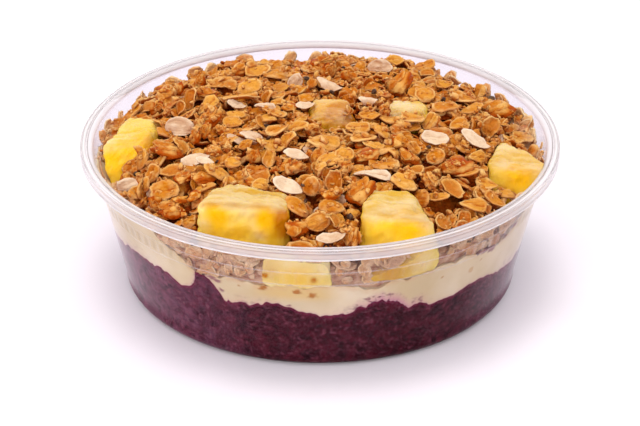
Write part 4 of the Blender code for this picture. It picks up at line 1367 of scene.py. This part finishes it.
    ("slab", -7.3, -61.2, 7.5, 5.4, -2, -4, 51, 0.6),
    ("flake", -0.7, -60.2, 8.1, 6.2, 12, 22, 60, 0.92),
    ("flake", 4.3, -60.2, 5.0, 3.7, -39, -50, 0, 0.95),
    ("flake", 3.7, -52.9, 8.1, 6.0, -2, -4, 18, 0.55),
    ("slab", 3.0, -48.7, 5.7, 4.1, 0, 0, 26, 0.5), ("pale", 3.6, -67.2, 9.3, 5.4, 6, 11, 10, 0.3),
    ("cluster", 10.1, -65.1, 8.1, 4.7, 0, 0, 0, 0.6),
    ("flake", 23.9, -27.7, 4.5, 3.3, -34, -46, -14, 0.9),
    ("flake", -23.6, -20.0, 5.2, 3.8, 15, 26, 16, 0.55),
    ("cluster", -32.2, -6.1, 4.6, 3.9, 0, 0, 0, 0.6),
    ("slab", -21.6, -40.7, 4.4, 3.2, -10, -18, 31, 0.5),
    ("flake", -0.1, -36.2, 5.7, 4.2, 39, 50, -13, 0.9),
    ("cluster", 8.2, -36.0, 5.7, 4.4, 0, 0, 0, 0.65),
    ("slab", -11.2, -33.4, 5.1, 3.7, 21, 35, 22, 0.6),
    ("flake", 16.6, -0.3, 7.2, 5.3, 0, 0, 3, 0.7), ("cluster", 21.3, 2.8, 5.3, 4.3, 0, 0, 0, 0.5),
    ("flake", 9.4, 1.3, 3.9, 2.9, 10, 18, 19, 0.8),
    ("flake", 30.1, -0.6, 8.5, 6.3, -6, -11, -2, 0.9),
    ("cluster", 26.7, -4.9, 7.2, 3.3, 0, 0, 0, 0.45),
    ("flake", 30.1, -36.3, 6.4, 4.7, 0, 0, 2, 0.85),
    ("cluster", 28.4, -39.0, 4.8, 3.8, 0, 0, 0, 0.85),
    ("flake", -17.4, 14.7, 6.0, 4.4, 52, 56, -17, 0.55),
    ("slab", -40.5, -10.0, 5.2, 3.8, 69, 61, -1, 0.25),
    ("slab", -37.6, -7.8, 5.2, 3.8, 52, 56, -0, 0.4),
    ("flake", -51.1, -1.7, 5.9, 4.4, -15, -26, 3, 0.6),
    ("flake", -52.1, 5.1, 6.6, 4.9, -18, -30, -14, 0.85),
    ("cluster", -48.8, -0.9, 4.6, 3.9, 0, 0, 0, 0.6),
    ("flake", -63.1, 22.6, 8.1, 6.0, 21, 35, -7, 0.5),
    ("flake", -58.5, 24.0, 7.4, 5.5, 12, 22, 6, 0.75),
    ("slab", -44.4, -44.2, 5.4, 3.9, 0, 0, -2, 0.8),
    ("flake", 39.8, -16.3, 3.2, 2.4, 15, 26, 37, 0.5),
    ("slab", 41.6, -18.7, 4.2, 3.0, 52, 56, 15, 0.3), ("seed", -4.5, 27.8, 2.4, 2.0, 0, 0, 0, 0.3),
    ("seed", -59.5, -23.5, 1.9, 1.6, 0, 0, 0, 0.3), ("seed", 59.0, 41.6, 2.7, 2.1, 0, 0, 0, 0.3),
    ("seed", 35.1, -20.0, 1.9, 1.6, 0, 0, 0, 0.3), ("seed", 6.6, -32.5, 2.2, 1.6, 0, 0, 0, 0.3),
    ("seed", 9.3, -57.8, 2.5, 1.9, 0, 0, 0, 0.4), ("seed", 35.1, -39.9, 1.6, 1.3, 0, 0, 0, 0.3),
    ("seed", 18.0, 19.2, 2.3, 1.7, 0, 0, 0, 0.3), ("seed", 3.9, 16.0, 2.0, 1.7, 0, 0, 0, 0.2),
    ("seed", -17.4, -9.3, 2.0, 1.3, 0, 0, 0, 0.4), ("seed", -16.6, -17.2, 1.9, 1.0, 0, 0, 0, 0.4),
    ("seed", -33.1, -27.7, 1.6, 1.0, 0, 0, 0, 0.3), ("seed", -5.5, -44.5, 1.3, 1.6, 0, 0, 0, 0.4),
    ("seed", -4.5, -51.2, 1.3, 1.3, 0, 0, 0, 0.4),
)
# How far each kind stands above the heap there, and its thickness as a share of its
# length (0 for the form's own millimetres).
STANDING = {"pale": 0.9, "flake": 0.8, "slab": 0.6, "cluster": 0.6, "seed": 1.0}
THICKNESS = {"pale": 0.0, "flake": 0.0, "slab": 0.32, "cluster": 0.75, "seed": 0.6}
FLAKE_THICKNESS = 1.1
PIECES_TRIED = 16000
# Kinds that take no painted shade for lying deep in the heap.
NO_BURIED_SHADE = ("wall_oats", "tiny_crumbs", "stuck_crumbs")


def stamp(spots, heights):
    """Raises the pile over some spots to their heights."""
    np.maximum.at(pile, (cell_of(spots[:, 0]), cell_of(spots[:, 1])), heights)


def lay_top_pieces():
    """Lays the top pieces and lowers the roof over the rest, so that none hides them."""
    draw = np.random.default_rng(91)
    laid = []
    for kind, x, y, length, width, turn, rise, lean, tone in TOP_PIECES:
        turn, rise, lean = np.radians([turn, rise, lean])
        level = math.cos(rise)
        along = np.array([math.cos(turn) * level, math.sin(turn) * level, math.sin(rise)])
        upward = np.array([0.0, 0.0, 1.0]) - along[2] * along
        upward /= np.linalg.norm(upward)
        normal = math.cos(lean) * upward + math.sin(lean) * np.cross(along, upward)
        basis = np.stack([along, np.cross(normal, along), normal], 1)
        if kind in ("cluster", "seed"):
            basis = tilted(draw, slope_at(x, y), 20.0)
        spot = np.array([x, y, sample(target, x, y) + STANDING[kind]])
        spots = footprint((length, width)) @ basis.T + spot
        for ahead in np.arange(0.0, 6.0, 0.5):
            cells = (cell_of(spots[:, 0]), cell_of(spots[:, 1] - ahead))
            np.minimum.at(roof, cells, spots[:, 2] - 0.2 + SIGHT_SLOPE * ahead)
        size = (length, width, THICKNESS[kind] * length or 1.0)
        laid.append((kind, (int(draw.integers(1000)), size, basis, spot, tone)))
    return laid


top_pieces = lay_top_pieces()


def settle(size, place, turn, sink):
    """Lowers a piece onto the pile at a place: its height, or None if it can't lie there."""
    spots = footprint(size) @ turn.T
    x, y = place[0] + spots[:, 0], place[1] + spots[:, 1]
    if sample(blocked, x, y).mean() > 0.12:
        return None
    half = size[2] / 2.0
    height = np.quantile(sample(pile, x, y) - (spots[:, 2] - half), 0.85) - sink
    tops = height + spots[:, 2] + half * 0.7
    if (tops > sample(roof, x, y)).mean() > 0.1:
        return None
    stamp(np.stack([x, y], 1), tops)
    return height


def low_spot(draw, tries=20):
    """A random place where the pile is furthest below its roof, and by how much."""
    radius = (inner_radius(SHOULDER) - 2.0) * np.sqrt(draw.uniform(size=tries))
    turn = draw.uniform(0, math.tau, tries)
    x, y = radius * np.cos(turn), radius * np.sin(turn)
    room = sample(roof, x, y) - sample(pile, x, y) - 50.0 * sample(blocked, x, y)
    best = int(np.argmax(room))
    return (x[best], y[best]), room[best]


def softened(grid, reach):
    """A grid of heights averaged over a square of cells around each."""
    for axis in (0, 1):
        rolled = [np.roll(grid, shift, axis) for shift in range(-reach, reach + 1)]
        grid = sum(rolled) / len(rolled)
    return grid


def random_tone(draw, middle, width, depth_shade=0.0):
    return float(np.clip(draw.normal(middle, width) - depth_shade, 0, 1))


def gather(name, forms, placements, look, smooth=True):
    """Joins all the pieces of one kind into one object. A placement is a form's
    number, a size, a turn, a place and a tone."""
    parts = []
    for number, size, turn, place, tone in placements:
        points, faces, shaded_creases, pale_rims_and_highlights = forms[number % len(forms)]
        made = (points * size) @ turn.T + place
        keep_inside(made, PRESS - 0.3)
        own = (points * size + place) * MM
        parts.append((made, faces, shaded_creases, pale_rims_and_highlights, np.full(len(made), tone), own))
    points, faces, shaded_creases, pale_rims_and_highlights, tones, own = joined(parts)
    height = points[:, 2]
    heap_surface = softened(np.minimum(pile, target + 1.0), 5)
    below = sample(heap_surface, points[:, 0], points[:, 1]) - height
    at_wall = smooth_step(np.hypot(points[:, 0], points[:, 1]), 67.5, 70.5) * (height < 46.5)
    low_down = 1.0 - smooth_step(height, 42.5, 45.5)
    # Points under the heap's softened surface get painted shade, more the deeper they lie, except at the
    # wall.
    buried_shade = 0.92 * smooth_step(below, 0.0, 2.6) * (1.0 - at_wall)
    creamed = 0.75 * at_wall * low_down
    if name == "wall_oats":
        smears = 0.2 + 0.7 * smooth_step(cloud(points, 5.0, 31.0), -0.25, 0.45)
        creamed = smears * (0.25 + 0.75 * low_down)
    marks = {
        "tone": tones,
        "shaded_crease": shaded_creases,
        "rim": pale_rims_and_highlights,
        "own": own,
        "buried_shade": buried_shade * (name not in NO_BURIED_SHADE),
        "creamed": creamed,
    }
    piece = mesh_piece(name, points, faces, [looks[look]], marks=marks)
    if not smooth:
        piece.data.shade_flat()
    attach(piece, "root")
    return points, faces


# Each kind: its share, its lengths, its widths and thickness as shares of the length
# (0 for the form's own millimetres), how far it leans, and the most there may be.
KINDS = {
    "flake": (0.42, (5.6, 8.8), (0.68, 0.92), 0.0, 30.0, 900),
    "broken": (0.26, (3.4, 6.0), (0.6, 0.95), 0.0, 42.0, 900),
    "crumb": (0.2, (1.2, 3.0), (0.7, 1.0), 0.7, 60.0, 1900),
    "cluster": (0.05, (5.0, 8.0), (0.75, 0.95), 0.7, 30.0, 70),
    "slab": (0.05, (4.5, 8.0), (0.6, 0.8), 0.34, 35.0, 90),
    "pale": (0.03, (6.0, 8.5), (0.5, 0.66), 0.0, 24.0, 30),
    "seed": (0.012, (1.4, 2.2), (0.7, 0.9), 0.6, 40.0, 40),
}
TONES = {"flake": (0.52, 0.27), "slab": (0.3, 0.2), "pale": (0.6, 0.25)}


def pile_granola():
    """Drops pieces into the lowest spots of the pile: the placements of each kind."""
    draw = np.random.default_rng(416)
    names = list(KINDS)
    shares = np.array([KINDS[name][0] for name in names])
    found = {name: 0 for name in names}
    lying = []
    for _ in range(PIECES_TRIED):
        name = names[int(draw.choice(len(names), p=shares / shares.sum()))]
        place, room = low_spot(draw)
        if room < 0.5 or (name in ("cluster", "slab") and room < 2.2):
            name = "crumb"
        _, lengths, widths, thick, lean, most = KINDS[name]
        if found[name] >= most or room < 0.1:
            continue
        length = draw.uniform(*lengths)
        size = (length, length * draw.uniform(*widths), thick * length or FLAKE_THICKNESS)
        turn = tilted(draw, slope_at(*place), lean)
        height = settle(size, place, turn, 0.35)
        if height is None:
            continue
        # Pieces lying deeper are given darker tones: painted shade.
        deep = max(0.0, float(sample(target, *place)) - height)
        tone = random_tone(draw, *TONES.get(name, (0.5, 0.25)), 0.05 * deep)
        spot = np.array([*place, height])
        scale = (*size[:2], size[2] if thick else 1.0)
        entry = (int(draw.integers(1000)), scale, turn, spot, tone)
        found[name] += 1
        lying.append((name, entry))
    for _, (_, size, turn, place, _) in top_pieces:
        spots = footprint(size) @ turn.T + place
        stamp(spots, spots[:, 2])
    showing = {name: [entry for kind, entry in top_pieces if kind == name] for name in names}
    for name, entry in lying:
        spots = footprint(entry[1]) @ entry[2].T + entry[3]
        deep = sample(pile, spots[:, 0], spots[:, 1]) - spots[:, 2]
        if (deep < 1.5).mean() > 0.12:
            showing[name].append(entry)
    return showing


placements = pile_granola()

# Large flakes on the wall: azimuth, height, length, width and how far they lean.
WALL_FLAKES = ((11.2, 38.8, 6.4, 4.6, 12.0), (12.6, 34.8, 6.6, 4.4, 48.0))


def on_wall(azimuth, height, inset):
    """The way out through the wall at an azimuth, and a place inside the wall there."""
    turn = math.radians(azimuth)
    out = np.array([math.sin(turn), -math.cos(turn), 0.0])
    return out, out * (inner_radius(height) - inset) + np.array([0, 0, height])


def wall_granola():
    """Flakes pressed flat on the wall all round, above the cream."""
    draw = np.random.default_rng(77)
    found = []
    for count in range(560):
        azimuth = draw.uniform(0, 360)
        low = float(np.interp(azimuth, AZIMUTHS, cream_edge)) + 0.6
        if low > 42.0:
            continue
        height = draw.uniform(low, 45.0)
        out, place = on_wall(azimuth, height, draw.uniform(0.3, 1.5))
        if any(np.linalg.norm(points - place, axis=1).min() < 3.0 for points in chunk_points):
            continue
        turn = tilted(draw, out, 15.0)
        length = draw.uniform(2.8, 7.5)
        size = (length, length * draw.uniform(0.6, 0.95), 1.0)
        found.append((count, size, turn, place, random_tone(draw, 0.5, 0.32)))
    for azimuth, height, length, width, roll in WALL_FLAKES:
        out, place = on_wall(azimuth, height, 0.4)
        out = Vector(out)
        along = Quaternion(out, math.radians(roll)) @ Vector((0, 0, 1.0))
        turn = np.array([along, out.cross(along), out]).T
        found.append((3, (length, width, 1.0), turn, place, 0.75))
    return found


def scatter_crumbs(laid, seed, count, middle, most):
    """Crumbs stuck where they fall on the pieces already laid, thick in places."""
    draw = np.random.default_rng(seed)
    lying = BVHTree.FromPolygons(*(values.tolist() for values in joined(laid)))
    found = []
    while len(found) < count:
        radius = HEAP_RADIUS * math.sqrt(draw.uniform())
        turn, lean = draw.uniform(0, math.tau), draw.uniform(0, 0.9)
        aim = draw.uniform(0, math.tau)
        fall = Vector((math.cos(aim) * lean, math.sin(aim) * lean, -1.0)).normalized()
        spot = Vector((radius * math.cos(turn), radius * math.sin(turn), 50.0))
        thick = noise.fractal(spot / 5.0, 1.0, 2.0, 2)
        if draw.uniform() > 0.03 + smooth_step(thick, 0.05, 0.5):
            continue
        place, normal, _, _ = lying.ray_cast(spot - fall * 25.0, fall)
        if place is None or sample(fruit_top, place.x, place.y) > place.z or place.z < 42.0:
            continue
        length = min(most, middle * math.exp(draw.normal(0.0, 0.35)))
        size = length * np.array([1.0, draw.uniform(0.6, 0.95), draw.uniform(0.5, 0.8)])
        tone = random_tone(draw, 0.6, 0.25)
        spot = np.array(place + normal * 0.12 * length)
        number = int(draw.integers(1000))
        found.append((number, size, tilted(draw, np.array(normal), 40.0), spot, tone))
    return found


# The loose pieces: their kind and look, and whether they are smooth.
LOOSE = {
    "oat_flakes": ("flake", "toasted oats", True),
    "broken_oats": ("broken", "toasted oats", True),
    "oat_crumbs": ("crumb", "oat clusters", False),
    "oat_clusters": ("cluster", "oat clusters", True),
    "syrupy_pieces": ("slab", "syrupy pieces", True),
    "pale_flakes": ("pale", "pale flakes", True),
    "dark_seeds": ("seed", "dark seeds", True),
}
BROKEN = {"spokes": 12, "plump": 0.9, "ragged": 0.1, "coarse": True}
PALE_GROOVES = ("none", "none", "groove", "layers")


def make_granola():
    draw = np.random.default_rng(5)
    forms = {
        "flake": [flake_form(draw) for _ in range(30)],
        "broken": [flake_form(draw, cut=draw.uniform(0.0, 0.3), **BROKEN) for _ in range(24)],
        "crumb": [round_form(draw, 2, 0.9, 0.5) for _ in range(16)],
        "cluster": [cluster_form(draw) for _ in range(9)],
        "slab": [slab_form(draw) for _ in range(10)],
        "pale": [
            flake_form(draw, plump=0.7, warp=1.1, groove=draw.choice(PALE_GROOVES))
            for _ in range(12)
        ],
        "seed": [round_form(draw, 2, 0.4, 0.5) for _ in range(4)],
    }
    laid = []
    for name, (kind, look, smooth) in LOOSE.items():
        made = gather(name, forms[kind], placements[kind], look, smooth)
        if kind not in ("pale", "seed"):
            laid.append(made)
    thin_flakes = [flake_form(draw, spokes=14, plump=0.7, coarse=True) for _ in range(20)]
    nubs = [round_form(draw, 2, 0.9, 0.45) for _ in range(16)]
    specks = [round_form(draw, 1, 0.7, 0.5) for _ in range(24)]
    stuck = scatter_crumbs(laid, 303, 380, 1.9, 3.2)
    tiny = scatter_crumbs(laid, 304, 1500, 0.9, 1.5)
    gather("stuck_crumbs", nubs, stuck, "stuck crumbs")
    gather("tiny_crumbs", specks, tiny, "stuck crumbs", smooth=False)
    gather("wall_oats", thin_flakes, wall_granola(), "granola at the wall")


make_granola()


# ---------------------------------------------------------------------------
# Floor, lights and camera. A seamless pale table under one large soft light
# overhead, with weak fills from the left and the front.
# ---------------------------------------------------------------------------


def add_object(name, data):
    made = bpy.data.objects.new(name, data)
    bpy.context.scene.collection.objects.link(made)
    return made


def make_floor():
    made, tree, place = new_material("table")
    paper = mottled(tree, place, 3.0, 2.0, 0.3, dark=(246, 240, 247), light=(249, 243, 250))
    inputs = {"Base Color": paper["Colour"], "Roughness": 0.6, "Specular IOR Level": 0.2}
    finish_material(tree, put(tree, "BsdfPrincipled", inputs).outputs[0])
    bm = bmesh.new()
    bmesh.ops.create_circle(bm, cap_ends=True, segments=96, radius=6.0)
    mesh = bpy.data.meshes.new("table")
    bm.to_mesh(mesh)
    bm.free()
    mesh.materials.append(made)
    table = add_object("table", mesh)


def add_lamp(name, place, size, power):
    """A round soft lamp aimed at the tub."""
    lamp = bpy.data.lights.new(name, "AREA")
    lamp.shape = "DISK"
    lamp.size = size
    lamp.energy = power
    made = add_object(name, lamp)
    made.location = place
    aim = Vector((0, 0, 0.03)) - Vector(place)
    made.rotation_euler = aim.to_track_quat("-Z", "Y").to_euler()


def make_studio():
    world = bpy.data.worlds.new("studio")
    world.use_nodes = True
    sky = world.node_tree.nodes["Background"].inputs
    sky["Color"].default_value = (1.0, 0.99, 1.0, 1.0)
    sky["Strength"].default_value = 1.12
    bpy.context.scene.world = world
    bpy.context.scene.view_settings.view_transform = "Standard"
    add_lamp("overhead", (-0.1, 0.1, 1.2), 0.5, 3.1)
    add_lamp("left fill", (-1.4, -1.1, 0.7), 1.2, 5.5)
    add_lamp("front fill", (0.2, -1.7, 0.7), 1.2, 3.2)


def make_camera():
    """Looks down at 27.8 degrees from 0.97 m away, through a long lens."""
    lens = bpy.data.cameras.new("camera")
    lens.lens = 161.7
    lens.sensor_width = 36.0
    lens.clip_start = 0.05
    made = add_object("camera", lens)
    made.location = (0.0, -0.850, 0.4697)
    made.rotation_euler = (math.radians(62.18), 0.0, 0.0)
    bpy.context.scene.camera = made


make_floor()
make_studio()
make_camera()
